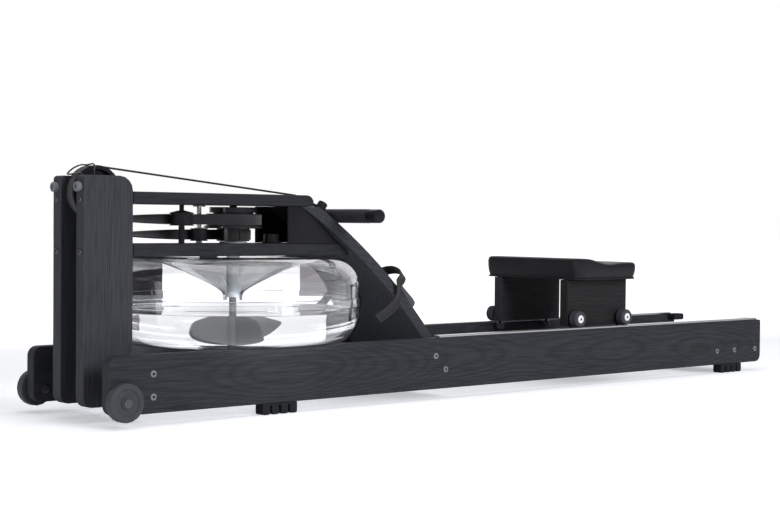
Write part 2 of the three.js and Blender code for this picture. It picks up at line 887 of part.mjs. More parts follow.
function buildDrum() {
  const capBottom = drumTop + drumNeckHeight;
  const profile = [
    [shaftRadius + runningGap, hubBottom],
    [hubRadius, hubBottom],
    [hubRadius, hubBottom + hubHeight],
    [drumFlangeRadius, hubBottom + hubHeight],
    [drumFlangeRadius, drumBottom],
    [drumRadius, drumBottom],
    [drumRadius, drumTop],
    [drumNeckRadius, drumTop],
    [drumNeckRadius, capBottom],
    [drumCapRadius, capBottom],
    [drumCapRadius, capBottom + drumCapHeight],
    [shaftRadius + runningGap, capBottom + drumCapHeight],
  ];
  place("clutch_drum", turnedZ(profile, fineSteps), blackPlastic, tankX, 0, 0);
}

// Pulleys and idlers

function pulleyProfile(groove, flange, bore) {
  const half = strapWidth / 2 + strapSideGap + pulleyFlangeWidth;
  const seat = half - pulleyFlangeWidth;
  const hub = uprightInner - gap;
  return [
    [bore, -hub],
    [pulleyHubRadius, -hub],
    [pulleyHubRadius, -pulleyWebWidth / 2],
    [groove - pulleyRimDepth, -pulleyWebWidth / 2],
    [groove - pulleyRimDepth, -half],
    [flange, -half],
    [flange, -seat],
    [groove, -seat],
    [groove, seat],
    [flange, seat],
    [flange, half],
    [groove - pulleyRimDepth, half],
    [groove - pulleyRimDepth, pulleyWebWidth / 2],
    [pulleyHubRadius, pulleyWebWidth / 2],
    [pulleyHubRadius, hub],
    [bore, hub],
  ];
}

function buildPulleys() {
  const front = turnedY(pulleyProfile(pulleyGroove, pulleyFlange, axleRadius + runningGap), fineSteps);
  place("front_strap_pulley", front, blackPlastic, pulleyX, 0, pulleyZ);
  const axle = rodY(axleRadius, pulleyAxleLength, wheelSteps, 0, 0, 0);
  place("front_pulley_axle", axle, steel, pulleyX, 0, pulleyZ);
  const recoil = turnedY(pulleyProfile(recoilGroove, recoilFlange, recoilBore), wheelSteps);
  const spindle = rodY(axleRadius - gap, pulleyAxleLength, wheelSteps, 0, 0, 0);
  place("recoil_pulley", joinTo(recoil, [spindle]), blackPlastic, recoilX, 0, recoilZ);
}

function idlerProfile(radius, flange, bottom, height, cone) {
  const bore = idlerPinRadius + runningGap;
  return [
    [bore, bottom],
    [flange, bottom],
    [flange, bottom + idlerFlangeWidth],
    [radius, bottom + idlerFlangeWidth],
    [radius, bottom + height - idlerFlangeWidth],
    [flange, bottom + height - idlerFlangeWidth],
    [flange, bottom + height],
    [idlerStemRadius, bottom + height + cone],
    [bore, bottom + height + cone],
  ];
}

function buildIdlers() {
  const upper = turnedZ(
    idlerProfile(upperIdlerRadius, upperIdlerFlange, upperIdlerBottom, upperIdlerHeight, upperIdlerCone),
    wheelSteps,
  );
  place("upper_idler", upper, blackPlastic, upperIdlerX, upperIdlerY, 0);
  const lower = turnedZ(
    idlerProfile(lowerIdlerRadius, lowerIdlerFlange, lowerIdlerBottom, lowerIdlerHeight, 0),
    wheelSteps,
  );
  place("lower_idler", lower, blackPlastic, lowerIdlerX, lowerIdlerY, 0);
  const pinBottom = lowerDeckTop + gap;
  const pinTop = upperDeckBottom - gap;
  const post = [
    [0, pinBottom],
    [idlerStemRadius, pinBottom],
    [idlerStemRadius, upperIdlerBottom - gap],
    [idlerPinRadius, upperIdlerBottom - gap],
    [idlerPinRadius, pinTop],
    [0, pinTop],
  ];
  place("upper_idler_post", turnedZ(post, smallSteps), blackPlastic, upperIdlerX, upperIdlerY, 0);
  const pin = [
    [0, pinBottom],
    [idlerStemRadius, pinBottom],
    [idlerStemRadius, lowerIdlerBottom - gap],
    [idlerPinRadius, lowerIdlerBottom - gap],
    [idlerPinRadius, pinTop],
    [0, pinTop],
  ];
  place("lower_idler_post", turnedZ(pin, smallSteps), steel, lowerIdlerX, lowerIdlerY, 0);
}

function buildSensor() {
  const bottom = lowerDeckTop + gap;
  const profile = [
    [0, bottom],
    [sensorFlangeRadius, bottom],
    [sensorFlangeRadius, bottom + sensorFlangeHeight],
    [sensorRadius, bottom + sensorFlangeHeight],
    [sensorRadius, bottom + sensorHeight],
    [0, bottom + sensorHeight],
  ];
  place("speed_sensor", turnedZ(profile, wheelSteps), blackPlastic, sensorX, sensorY, 0);
}

// Strap keeper: one wire that stands in the near upright's face, crosses over the strap, follows it
// and crosses back

function buildKeeper() {
  const half = uprightInner - gap - keeperWire / 2;
  const arc = arcPoints([pulleyX, pulleyZ], keeperRadius, keeperStartDegrees, keeperEndDegrees, 2);
  const foot = uprightBottom + uprightHeight - keeperFoot;
  const far = arc.map(([x, z]) => new THREE.Vector3(x, half, z));
  const near = [arc[0], arc[2]].map(([x, z]) => [
    new THREE.Vector3(x, -half, foot),
    new THREE.Vector3(x, -half, (z + foot) / 2),
    new THREE.Vector3(x, -half, z),
    new THREE.Vector3(x, 0, z),
  ]);
  const path = new THREE.CatmullRomCurve3([...near[0], ...far, ...near[1].reverse()], false, "centripetal");
  const wire = new THREE.Shape().absarc(0, 0, keeperWire / 2, 0, 2 * Math.PI);
  const geometry = new THREE.ExtrudeGeometry(wire, {
    steps: keeperBends,
    curveSegments: keeperSides,
    extrudePath: path,
  });
  place("strap_keeper", geometry, steel);
}

// Webbing

const acrossY = new THREE.Vector3(0, 1, 0);
const upZ = new THREE.Vector3(0, 0, 1);
const strapOnPulley = pulleyGroove + gap + strapHalf;
const strapOnDeck = upperDeckRearRadius + gap + strapHalf;
const deckCorner = [upperDeckRear - upperDeckRearRadius, upperDeckTop - upperDeckRearRadius];
const handleSeat = footboardRadius + gap + handleRadius;
const handleAngle = THREE.MathUtils.degToRad(handleDegrees);
const handleX = footboardCentreX + handleSeat * Math.cos(handleAngle);
const handleZ = footboardCentreZ + handleSeat * Math.sin(handleAngle);
const topRun = straightRun([pulleyX, pulleyZ], strapOnPulley, 1, deckCorner, strapOnDeck, 1);

// Points of a band's turn round a pulley, in steps small enough to keep clear of it
function turnPoints(centre, radius, startDegrees, endDegrees) {
  const steps = Math.ceil(Math.abs(endDegrees - startDegrees) / strapStepDegrees);
  return arcPoints(centre, radius, startDegrees, endDegrees, steps);
}

function inSideView([x, z]) {
  return { point: new THREE.Vector3(x, 0, z), width: acrossY.clone() };
}

function inPlan([x, y], z) {
  return { point: new THREE.Vector3(x, y, z), width: upZ.clone() };
}

// Stations that carry a band from one station to another while its width turns a quarter
function twist(from, to) {
  const stations = [];
  for (let k = 1; k < twistSteps; k += 1) {
    const share = k / twistSteps;
    const turn = (share * Math.PI) / 2;
    const width = from.width.clone().multiplyScalar(Math.cos(turn));
    width.addScaledVector(to.width, Math.sin(turn));
    stations.push({ point: from.point.clone().lerp(to.point, share), width: width.normalize() });
  }
  return stations;
}

function buildDriveStrap() {
  const topEnd = topRun.start.clone().sub(topRun.end).setLength(gap).add(topRun.end);
  const top = inSideView([topEnd.x, topEnd.y]);
  const wrap = turnPoints([pulleyX, pulleyZ], strapOnPulley, topRun.startDegrees, 270).map(inSideView);
  const idlerTurn = turnPoints([upperIdlerX, upperIdlerY], idlerReach, 90, driveRun.startDegrees);
  const drumEnd = driveRun.endDegrees + drumWrapDegrees;
  const drumTurn = turnPoints([tankX, 0], drumReach, driveRun.endDegrees, drumEnd);
  const after = [...idlerTurn, ...drumTurn].map((p) => inPlan(p, strapLevel));
  const stations = [top, ...wrap, ...twist(wrap[wrap.length - 1], after[0]), ...after];
  place("drive_strap", band(stations, strapWidth, strapThickness), webbing);
}

const onHandle = handleRadius + gap + strapHalf;

function buildFreeRun() {
  const run = straightRun(deckCorner, strapOnDeck, 1, [handleX, handleZ], onHandle, 1);
  const corner = turnPoints(deckCorner, strapOnDeck, topRun.endDegrees, run.startDegrees);
  const onBar = turnPoints([handleX, handleZ], onHandle, run.endDegrees, handleWrapDegrees);
  const stations = [...corner, ...onBar].map(inSideView);
  place("strap_free_run", band(stations, strapWidth, strapThickness), webbing);
}

const recoilReach = recoilGroove + gap + strapHalf;
const anchorX = crossBoardStart - gap - strapHalf;
const anchorTop = crossBoardBottom + crossBoardHeight - overrun;
const anchorBottom = crossBoardBottom + crossBoardHeight * anchorShare;

function buildRecoilStrap() {
  const down = straightRun([recoilX, recoilZ], recoilReach, -1, [anchorX, anchorTop], 0, -1);
  const anchor = [[anchorX, anchorTop], [anchorX, anchorBottom]].map(inSideView).reverse();
  const wrap = turnPoints([recoilX, recoilZ], recoilReach, down.startDegrees + 360, 90).map(inSideView);
  const hubEnd = recoilRun.endDegrees - hubWrapDegrees;
  const drumTurn = turnPoints([tankX, 0], hubReach, recoilRun.endDegrees, hubEnd);
  const beforeIdler = pointOnRun(recoilRun, lowerIdlerX - lowerIdlerFlange);
  const hubRun = [[beforeIdler.x, beforeIdler.y], ...drumTurn].map((p) => inPlan(p, recoilLevel));
  const stations = [...anchor, ...wrap, ...twist(wrap[wrap.length - 1], hubRun[0]), ...hubRun];
  place("recoil_strap", band(stations, strapWidth, strapThickness), webbing);
}

// Handle and pegs

function buildHandle() {
  const half = handleLength / 2;
  const profile = [
    [0, -half],
    [handleRadius - handleEndRadius, -half],
    [handleRadius - handleEndRadius * handleEndShare, -half + handleEndRadius * handleEndShare],
    [handleRadius - handleCapStep, -half + handleEndRadius],
    [handleRadius - handleCapStep, -half + handleCapLength],
    [handleRadius, -half + handleCapLength + handleCapStep],
    [handleRadius, half - handleCapLength - handleCapStep],
    [handleRadius - handleCapStep, half - handleCapLength],
    [handleRadius - handleCapStep, half - handleEndRadius],
    [handleRadius - handleEndRadius * handleEndShare, half - handleEndRadius * handleEndShare],
    [handleRadius - handleEndRadius, half],
    [0, half],
  ];
  place("handle", turnedY(profile, wheelSteps), stainedAsh, handleX, 0, handleZ);
}

function buildPeg(name, side) {
  const reach = footboardRadius + gap + pegLength / 2;
  const angle = THREE.MathUtils.degToRad(pegDegrees);
  const peg = rodZ(pegRadius, pegLength, smallSteps, 0, 0, 0);
  const mesh = place(
    `${name}_handle_peg`,
    peg,
    blackRubber,
    footboardCentreX + reach * Math.cos(angle),
    (side * pegSpacing) / 2,
    footboardCentreZ + reach * Math.sin(angle),
  );
  mesh.rotation.y = Math.PI / 2 - angle;
}

// Heel rests and foot straps, built upright at the top of the footboard's circle and then turned to
// their place along it

function turnedToBoard(mesh, degrees, y) {
  const pivot = new THREE.Group();
  pivot.position.set(footboardCentreX, y, footboardCentreZ);
  pivot.rotation.y = THREE.MathUtils.degToRad(90 - degrees);
  pivot.add(mesh);
  machine.add(pivot);
}

function buildHeelRest(name, side) {
  const seat = footboardRadius + gap;
  const half = heelLength / 2;
  const reach = THREE.MathUtils.radToDeg(half / seat);
  const under = arcPoints([0, 0], seat, 90 - reach, 90 + reach, cornerSteps);
  const shape = outline([
    ...under.map(([x, z]) => [x, z, 0]),
    [-half, seat + heelFrontRise, 0],
    [half - heelWall - heelCrest, seat + heelRise, 0],
    [half - heelWall, seat + heelRise, 0],
    [half, seat + heelBackRise, 0],
  ]);
  const pocket = rectangle(-half - overrun, seat + heelPlate, half - heelWall, seat + heelRise + overrun);
  const hollow = sideBoard(pocket, heelWall - heelWidth / 2, heelWidth / 2 - heelWall);
  const geometry = cutAway(sideBoard(shape, -heelWidth / 2, heelWidth / 2), [hollow]);
  const rest = place(`${name}_heel_rest`, geometry, greyPlastic);
  turnedToBoard(rest, heelDegrees, (side * heelSpacing) / 2);
}

// The strap lies on the board beside the middle plane, arches over the foot, passes the edge of the
// board and hangs down beside it
function buildFootStrap(name, side) {
  const seat = footboardRadius + gap + footStrapThickness / 2;
  const downhill = new THREE.Vector3(1, 0, 0);
  const stations = [];
  for (let k = 0; k <= footStrapSteps; k += 1) {
    const share = k / footStrapSteps;
    const angle = share * Math.PI;
    const y = -side * Math.cos(angle) * (footStrapSpan / 2);
    const z = seat + footStrapRise * Math.sqrt(Math.sin(angle));
    const slant = footStrapSlant * Math.max(2 * share - 1, 0);
    stations.push({ point: new THREE.Vector3(slant, y, z), width: downhill.clone() });
  }
  const edge = side * (footStrapSpan / 2 + footStrapThickness);
  for (const [along, down] of tailRouteShares) {
    const point = new THREE.Vector3(along * footStrapTail, edge, seat - down * footStrapTail);
    stations.push({ point, width: downhill.clone() });
  }
  const geometry = band(stations, footStrapWidth, footStrapThickness);
  const strap = place(`${name}_foot_strap`, geometry, webbing);
  turnedToBoard(strap, footStrapDegrees, (side * footStrapSpacing) / 2);
}

// Seat

const rollerZ = trackTop + gap + rollerRadius;
const rollerInner = seatBoardInner + seatBoardThickness + rollerBoardGap;
const rollerPlaces = [["front", rollerFrontX], ["rear", rollerFrontX + rollerBase]];
const guideY = railInner - guideRailGap - guideRadius;

function buildSeatBoard(name, side) {
  const seatBoardTop = seatBoardBottom + seatBoardHeight;
  const shape = rectangle(seatStart, seatBoardBottom, seatStart + seatBoardLength, seatBoardTop);
  const outer = seatBoardInner + seatBoardThickness;
  const [low, high] = spanOnSide(side, seatBoardInner, outer);
  const pinLength = rollerInner + rollerWidth - outer + overrun;
  const pins = rollerPlaces.map(([, x]) =>
    rodY(rollerPinRadius, pinLength, pinSteps, x, side * (outer - overrun + pinLength / 2), rollerZ),
  );
  const guidePinLength = seatBoardBottom - guideBottom + overrun;
  const guidePins = rollerPlaces.map(([, x]) =>
    rodZ(guidePinRadius, guidePinLength, pinSteps, x, side * guideY, guideBottom + guidePinLength / 2),
  );
  const board = joinTo(sideBoard(shape, low, high, easedEdge), [...pins, ...guidePins]);
  place(`${name}_seat_board`, board, stainedAsh);
}

function buildRoller(name, side, x) {
  const half = rollerWidth / 2;
  const bore = rollerPinRadius + runningGap;
  const profile = [
    [bore, -half],
    [rollerRadius - rollerRimInset, -half],
    [rollerRadius, -half + rollerRimInset],
    [rollerRadius, half - rollerRimInset],
    [rollerRadius - rollerRimInset, half],
    [bore, half],
  ];
  const roller = turnedY(profile, wheelSteps);
  place(`${name}_roller`, roller, blackPlastic, x, side * (rollerInner + half), rollerZ);
}

function buildGuide(name, side, x) {
  const bore = guidePinRadius + runningGap;
  const profile = [
    [bore, 0],
    [guideRadius - smallEase, 0],
    [guideRadius, smallEase],
    [guideRadius, guideHeight - smallEase],
    [guideRadius - smallEase, guideHeight],
    [bore, guideHeight],
  ];
  place(`${name}_guide_wheel`, turnedZ(profile, smallSteps), blackPlastic, x, side * guideY, guideBottom);
}

// The cushion: rings of a rounded rectangle from the middle of its base, up its drawn-in sides and
// over the crown to the middle of its top, with a saddle dip across it
function padRing(inset) {
  const radius = Math.max(padCornerRadius - inset, smallEase);
  const shape = outline(
    [
      [-padLength / 2 + inset, -padWidth / 2 + inset, radius],
      [padLength / 2 - inset, -padWidth / 2 + inset, radius],
      [padLength / 2 - inset, padWidth / 2 - inset, radius],
      [-padLength / 2 + inset, padWidth / 2 - inset, radius],
    ],
    padCornerSteps,
  );
  return shape.getPoints();
}

// Height of the top over the rear edge at a place along the seat: a raised front, a saddle dip behind
// it and a flat rear
function padSurface(x, raised) {
  const along = x / padLength;
  const rise = 1 - THREE.MathUtils.smoothstep(along, padRiseEndShare, padRiseStartShare);
  const dip = Math.exp(-(((along - padDipShare) / padDipWidthShare) ** 2));
  return (padCrown * rise - padSaddle * dip) * raised;
}

function buildPad() {
  const base = seatBoardBottom + seatBoardHeight + gap;
  const height = padEdgeHeight;
  const levels = [
    { inset: padLip, z: 0, raised: 0, scale: 1 },
    { inset: padSkirtInset, z: padLip / 2, raised: 0, scale: 1 },
    { inset: padSkirtInset, z: padLip, raised: 0, scale: 1 },
    { inset: padLip, z: padLip + smallEase, raised: 0, scale: 1 },
    { inset: 0, z: height / 2, raised: padMiddleShare, scale: 1 },
    { inset: 0, z: height - padLip, raised: 1, scale: 1 },
    { inset: padLip, z: height, raised: 1, scale: 1 },
    ...padTopShares.map((scale) => ({ inset: padLip, z: height, raised: 1, scale })),
  ];
  const vertices = [0, 0, base];
  const rings = levels.map(({ inset, z, raised, scale }) =>
    padRing(inset).map((p) => {
      vertices.push(p.x * scale, p.y * scale, base + z + padSurface(p.x * scale, raised));
      return vertices.length / 3 - 1;
    }),
  );
  vertices.push(0, 0, base + height + padSurface(0, 1));
  const topPoint = vertices.length / 3 - 1;
  const triangles = [];
  const count = rings[0].length;
  for (let k = 0; k < count; k += 1) {
    const next = (k + 1) % count;
    triangles.push(0, rings[0][next], rings[0][k]);
    for (let i = 0; i + 1 < rings.length; i += 1) {
      triangles.push(rings[i][k], rings[i][next], rings[i + 1][k]);
      triangles.push(rings[i][next], rings[i + 1][next], rings[i + 1][k]);
    }
    triangles.push(topPoint, rings[rings.length - 1][k], rings[rings.length - 1][next]);
  }
  const geometry = new THREE.BufferGeometry();
  geometry.setAttribute("position", new THREE.Float32BufferAttribute(vertices, 3));
  geometry.setIndex(triangles);
  place("seat_pad", geometry, padSkin, padFront + padLength / 2, 0, 0);
}

// Stops and transport wheels

function buildStop(name, side) {
  const shape = rectangle(stopStart, stopTop - stopHeight, stopStart + stopLength, stopTop, stopCornerRadius);
  const [low, high] = spanOnSide(side, railInner - gap - stopWidth, railInner - gap);
  place(`${name}_rear_stop`, sideBoard(shape, low, high), blackRubber);
}

function buildWheel(name, side) {
  const half = wheelWidth / 2;
  const bore = wheelAxleRadius + runningGap;
  const profile = [
    [bore, -half],
    [wheelRadius - wheelTreadInset, -half],
    [wheelRadius, -half + wheelTreadInset],
    [wheelRadius, half - wheelTreadInset],
    [wheelRadius - wheelTreadInset, half],
    [wheelDishRadius, half],
    [wheelDishRadius - wheelDish, half - wheelDish],
    [wheelHubRadius, half - wheelDish],
    [wheelHubRadius, half],
    [bore, half],
  ];
  const middle = railOuter + wheelRailGap + half;
  const geometry = turnedY(profile, wheelSteps);
  geometry.scale(1, side, 1);
  place(`${name}_transport_wheel`, geometry, blackRubber, wheelX, side * middle, wheelZ);
  const shank = railThickness + wheelRailGap + wheelWidth + gap;
  const axle = [
    [0, -wheelAxleHeadHeight],
    [wheelAxleHeadRadius, -wheelAxleHeadHeight],
    [wheelAxleHeadRadius, 0],
    [wheelAxleRadius, 0],
    [wheelAxleRadius, shank],
    [wheelAxleHeadRadius, shank],
    [wheelAxleHeadRadius, shank + wheelAxleHeadHeight / 2],
    [0, shank + wheelAxleHeadHeight / 2],
  ];
  const bolt = turnedY(axle, smallSteps);
  bolt.translate(0, railInner - gap, 0);
  bolt.scale(1, side, 1);
  place(`${name}_wheel_axle`, bolt, steel, wheelX, 0, wheelZ);
}

// The whole machine

sides((name, side) => {
  buildRail(name, side);
  buildTrack(name, side);
  buildFoot(`${name}_front`, side, frontFootStart);
  buildFoot(`${name}_rear`, side, rearFootStart);
  buildUpright(name, side);
  buildBuffer(name, side);
  buildSidePlate(name, side);
  buildPeg(name, side);
  buildHeelRest(name, side);
  buildFootStrap(name, side);
  buildSeatBoard(name, side);
  buildStop(name, side);
  buildWheel(name, side);
  for (const [end, x] of rollerPlaces) {
    buildRoller(`${name}_${end}`, side, x);
    buildGuide(`${name}_${end}`, side, x);
  }
});
buildFrontBoard();
buildDecks();
buildFootboard();
buildSpreader();
buildLowerShell();
buildUpperShell();
buildBearing();
buildPaddle();
buildDrum();
buildPulleys();
buildIdlers();
buildSensor();
buildKeeper();
buildDriveStrap();
buildFreeRun();
buildRecoilStrap();
buildHandle();
buildPad();

// The machine's middle goes to the origin
const frontmost = Math.min(uprightFront - gap - bufferLength, wheelX - wheelRadius);
const rearmost = stopStart + stopLength;
machine.position.x = -(frontmost + rearmost) / 2;

export default machine;
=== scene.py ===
# %% [markdown]
# # A water rowing machine in black-stained ash
# The engineering model gives every piece its place and size. This lesson dresses it for a studio
# picture: it eases the boards, turns the round pieces finely, weaves the straps, fills the tank and
# gives each surface its finish. The imported model is loaded first; its pieces are kept, their boxes
# give places and sizes, and each is hidden where a dressed piece stands in for it.

# %% Load the imported model
import json
import math

import bmesh
import bpy
from mathutils import Matrix, Vector

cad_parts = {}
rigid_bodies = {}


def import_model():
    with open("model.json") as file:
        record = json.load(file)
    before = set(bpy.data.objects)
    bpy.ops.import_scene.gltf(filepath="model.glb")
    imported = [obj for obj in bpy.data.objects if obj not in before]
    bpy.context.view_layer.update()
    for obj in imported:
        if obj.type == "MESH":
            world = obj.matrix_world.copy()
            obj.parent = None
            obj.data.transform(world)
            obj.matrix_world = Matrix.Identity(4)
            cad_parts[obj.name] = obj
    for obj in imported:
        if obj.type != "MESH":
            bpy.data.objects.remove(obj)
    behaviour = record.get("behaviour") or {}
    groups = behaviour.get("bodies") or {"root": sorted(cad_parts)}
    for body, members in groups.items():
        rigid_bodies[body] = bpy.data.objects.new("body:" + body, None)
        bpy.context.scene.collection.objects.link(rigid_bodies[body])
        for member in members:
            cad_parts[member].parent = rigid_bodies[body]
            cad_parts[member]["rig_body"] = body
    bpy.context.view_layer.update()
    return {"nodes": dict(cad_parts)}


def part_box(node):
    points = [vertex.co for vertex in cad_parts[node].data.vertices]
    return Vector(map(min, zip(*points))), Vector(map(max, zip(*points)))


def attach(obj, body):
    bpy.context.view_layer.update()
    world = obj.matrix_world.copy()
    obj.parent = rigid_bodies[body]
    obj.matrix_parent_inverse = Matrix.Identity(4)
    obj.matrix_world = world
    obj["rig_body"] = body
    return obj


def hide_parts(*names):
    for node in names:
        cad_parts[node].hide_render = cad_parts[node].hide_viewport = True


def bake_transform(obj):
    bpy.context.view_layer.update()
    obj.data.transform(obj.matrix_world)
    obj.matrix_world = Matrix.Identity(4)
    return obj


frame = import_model()

# %% [markdown]
# The machine was drawn in millimetres from the front end of its rails. Small functions turn them into
# the metres of the scene and back, so every size below can be read with a tape measure in mind.

# %% Millimetres from the front of the rails
MM = 0.001
MACHINE_MIDDLE = 1046.45


def spot(x, y, z):
    return Vector(((x - MACHINE_MIDDLE) * MM, y * MM, z * MM))


def in_machine(corner):
    return Vector((corner.x / MM + MACHINE_MIDDLE, corner.y / MM, corner.z / MM))


def machine_box(node):
    """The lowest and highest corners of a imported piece, in millimetres."""
    return [in_machine(corner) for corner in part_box(node)]


def machine_middle(node):
    low, high = machine_box(node)
    return (low + high) / 2


near_rail_low, near_rail_high = machine_box("near_rail")
print("near rail, mm:", near_rail_low, near_rail_high)

# %% [markdown]
# The camera stands low before the near corner of the tank end, with a short telephoto lens. It is turned
# from straight across the machine towards the seat, and it looks a trace downwards. The focal length is
# known in picture points, so it is scaled to the sensor.

# %% Camera
PICTURE_WIDTH = 780
SENSOR_WIDTH = 36.0
FOCAL_POINTS = 1551.6
FAR_ENOUGH = 200
CAMERA_PLACE = spot(-1547.2, -2776.2, 407.7)
CAMERA_TURN, CAMERA_PITCH, CAMERA_ROLL = 0.714, -0.025, 0.009


def in_scene(name, data):
    thing = bpy.data.objects.new(name, data)
    bpy.context.scene.collection.objects.link(thing)
    return thing


ahead = Vector((
    math.sin(CAMERA_TURN) * math.cos(CAMERA_PITCH),
    math.cos(CAMERA_TURN) * math.cos(CAMERA_PITCH),
    math.sin(CAMERA_PITCH)))
level_right = Vector((math.cos(CAMERA_TURN), -math.sin(CAMERA_TURN), 0))
level_up = level_right.cross(ahead)
right = math.cos(CAMERA_ROLL) * level_right + math.sin(CAMERA_ROLL) * level_up
up = math.cos(CAMERA_ROLL) * level_up - math.sin(CAMERA_ROLL) * level_right

camera_data = bpy.data.cameras.new("studio_camera")
camera_data.sensor_width = SENSOR_WIDTH
camera_data.lens = FOCAL_POINTS * SENSOR_WIDTH / PICTURE_WIDTH
camera_data.clip_end = FAR_ENOUGH
camera = in_scene("studio_camera", camera_data)
camera.matrix_world = Matrix.Translation(CAMERA_PLACE) @ Matrix(
    (right, up, -ahead)).transposed().to_4x4()
bpy.context.scene.camera = camera
print("lens, mm:", round(camera_data.lens, 1))

# %% [markdown]
# ## Building materials from nodes
# Every finish here is a network of nodes around one Principled shader. Helpers carry the routine work:
# one starts a material, another adds a node and fills its sockets, and the rest shorten the nodes that
# come up most.

# %% Node helpers
def add(tree, kind, inputs=None, **settings):
    node = tree.nodes.new("ShaderNode" + kind)
    for key, value in settings.items():
        setattr(node, key, value)
    for key, value in (inputs or {}).items():
        if isinstance(value, bpy.types.NodeSocket):
            tree.links.new(value, node.inputs[key])
        else:
            node.inputs[key].default_value = value
    return node


def start_material(name, **sockets):
    material = bpy.data.materials.new(name)
    material.use_nodes = True
    shader = material.node_tree.nodes["Principled BSDF"]
    for key, value in sockets.items():
        shader.inputs[key.replace("_", " ")].default_value = value
    return material, material.node_tree, shader


def ramp(tree, factor, *stops):
    node = add(tree, "ValToRGB", {"Fac": factor})
    elements = node.color_ramp.elements
    while len(elements) < len(stops):
        elements.new(0.5)
    for element, (position, color) in zip(elements, stops):
        element.position = position
        element.color = (*color, 1) if len(color) == 3 else color
    return node.outputs["Color"]


def paint(tree, shader, socket, factor, *stops):
    tree.links.new(ramp(tree, factor, *stops), shader.inputs[socket])


def grey(value):
    return (value, value, value)


def object_place(tree, scale=(1, 1, 1), turn=(0, 0, 0)):
    place = add(tree, "TexCoord").outputs["Object"]
    turned = add(tree, "Mapping", {"Vector": place, "Rotation": turn}).outputs["Vector"]
    return add(tree, "Mapping", {"Vector": turned, "Scale": scale}).outputs["Vector"]


def noise(tree, vector, scale=1.0, detail=2.0, roughness=0.5):
    return add(tree, "TexNoise", {
        "Vector": vector, "Scale": scale, "Detail": detail, "Roughness": roughness}).outputs["Fac"]


def maths(tree, operation, first, second=0.0):
    return add(tree, "Math", {0: first, 1: second}, operation=operation).outputs[0]


def bump(tree, height, shader, depth, strength=1.0):
    node = add(tree, "Bump", {"Height": height, "Distance": depth, "Strength": strength})
    tree.links.new(node.outputs["Normal"], shader.inputs["Normal"])


# %% [markdown]
# ## Stained ash
# Ash is a ring-porous wood: each year leaves a band of open pores, which stays darker and deeper under a
# thin black stain. The rings lie round the pith of the tree, so each board is shaded by its distance
# from a pith line beside it, bent by a slow noise. That draws the long arches of a flat-sawn board. A
# much finer noise, stretched along the grain, adds the pores.

# %% Stained ash finish
GRAIN_WANDER = 1.15
ACROSS_WANDER = 1.5
GRAIN_PORES = 14.0
ACROSS_PORES = 700.0
LATE_WOOD, WARM_STAIN = (0.054, 0.0565, 0.067), (0.02, 0.008, 0.0)
MID_SHARE, EARLY_SHARE, PORE_SHARE = 0.9, 0.74, 0.45
X_AXIS, Y_AXIS, Z_AXIS = 0, 1, 2


def stained_ash(name, along, pith, ring=6.5, wander=30.0, tone=1.0, warmth=0.0, turn=(0, 0, 0)):
    """Pith is a point on the pith line, ring the width of a year, wander the bend, in millimetres."""
    material, tree, shader = start_material(name, Specular_IOR_Level=0.22)
    long_way = [index == along for index in range(3)]
    slow = noise(tree, object_place(
        tree, [GRAIN_WANDER if long else ACROSS_WANDER for long in long_way], turn), 1.0, 2.0, 0.4)
    pith_place = [0.0 if long else -value for long, value in zip(long_way, spot(*pith))]
    moved = add(tree, "Mapping", {
        "Vector": object_place(tree, (1, 1, 1), turn), "Location": pith_place,
        "Scale": [0.0 if long else 1.0 for long in long_way]})
    reach = add(tree, "VectorMath", {0: moved.outputs["Vector"]}, operation="LENGTH")
    bent = maths(tree, "ADD", reach.outputs["Value"], maths(tree, "MULTIPLY", slow, wander * MM))
    wave = maths(tree, "SINE", maths(tree, "MULTIPLY", bent, 2 * math.pi / (ring * MM)))
    rings = maths(tree, "ADD", maths(tree, "MULTIPLY", wave, 0.5), 0.5)
    pores = noise(tree, object_place(
        tree, [GRAIN_PORES if long else ACROSS_PORES for long in long_way], turn), 1.0, 3.0, 0.6)
    late_wood = [tone * stain + warmth * warm for stain, warm in zip(LATE_WOOD, WARM_STAIN)]
    mid_wood, early_wood, pore_dark = (
        [share * value for value in late_wood] for share in (MID_SHARE, EARLY_SHARE, PORE_SHARE))
    body = ramp(tree, rings, (0.0, early_wood), (0.3, mid_wood), (1.0, late_wood))
    share = ramp(tree, pores, (0.36, grey(0.85)), (0.53, grey(0.0)))
    mixed = add(tree, "Mix", {0: share, 6: body, 7: (*pore_dark, 1)}, data_type="RGBA")
    tree.links.new(mixed.outputs[2], shader.inputs["Base Color"])
    paint(tree, shader, "Roughness", pores, (0.3, grey(0.66)), (0.7, grey(0.5)))
    relief = maths(tree, "ADD", maths(tree, "MULTIPLY", rings, 0.25), pores)
    bump(tree, relief, shader, 0.0004, 0.5)
    return material


FOOTBOARD_SLOPE = math.radians(44)
ash_along = stained_ash("ash_along_the_rails", X_AXIS, (0, -262, 84), ring=4.0, wander=150.0, tone=0.7)
ash_upright = stained_ash("ash_upright", Z_AXIS, (-140, 40, 0), ring=4.4, wander=16.0, tone=1.02)
ash_across = stained_ash("ash_across", Y_AXIS, (40, 0, -60), ring=6.0, wander=30.0)
# The seat boards share one stain. Their tones are painted light: the far board is painted lighter and the near
# one darker, for how the light falls on them.
SEAT_TONES_PAINTED_LIGHT, SEAT_WARMTH = {"near": 0.38, "far": 0.75}, 0.25
ash_seat_painted_light = {side: stained_ash(f"ash_{side}_seat_board", X_AXIS, (0, -170, -60), ring=4.0, wander=60.0,
                              tone=tone, warmth=SEAT_WARMTH) for side, tone in SEAT_TONES_PAINTED_LIGHT.items()}
ash_deck = stained_ash("ash_decks", X_AXIS, (0, -60, 150), ring=4.0, wander=60.0, tone=0.58)
ash_footboard = stained_ash("ash_footboard", X_AXIS, (0, -40, 0), ring=5.0, wander=90.0, tone=0.9,
                            turn=(0, -FOOTBOARD_SLOPE, 0))
ash_handle = stained_ash("ash_handle", Y_AXIS, (600, 0, 300), ring=5.0, wander=20.0, tone=0.7)
print("ash finishes:", 8)

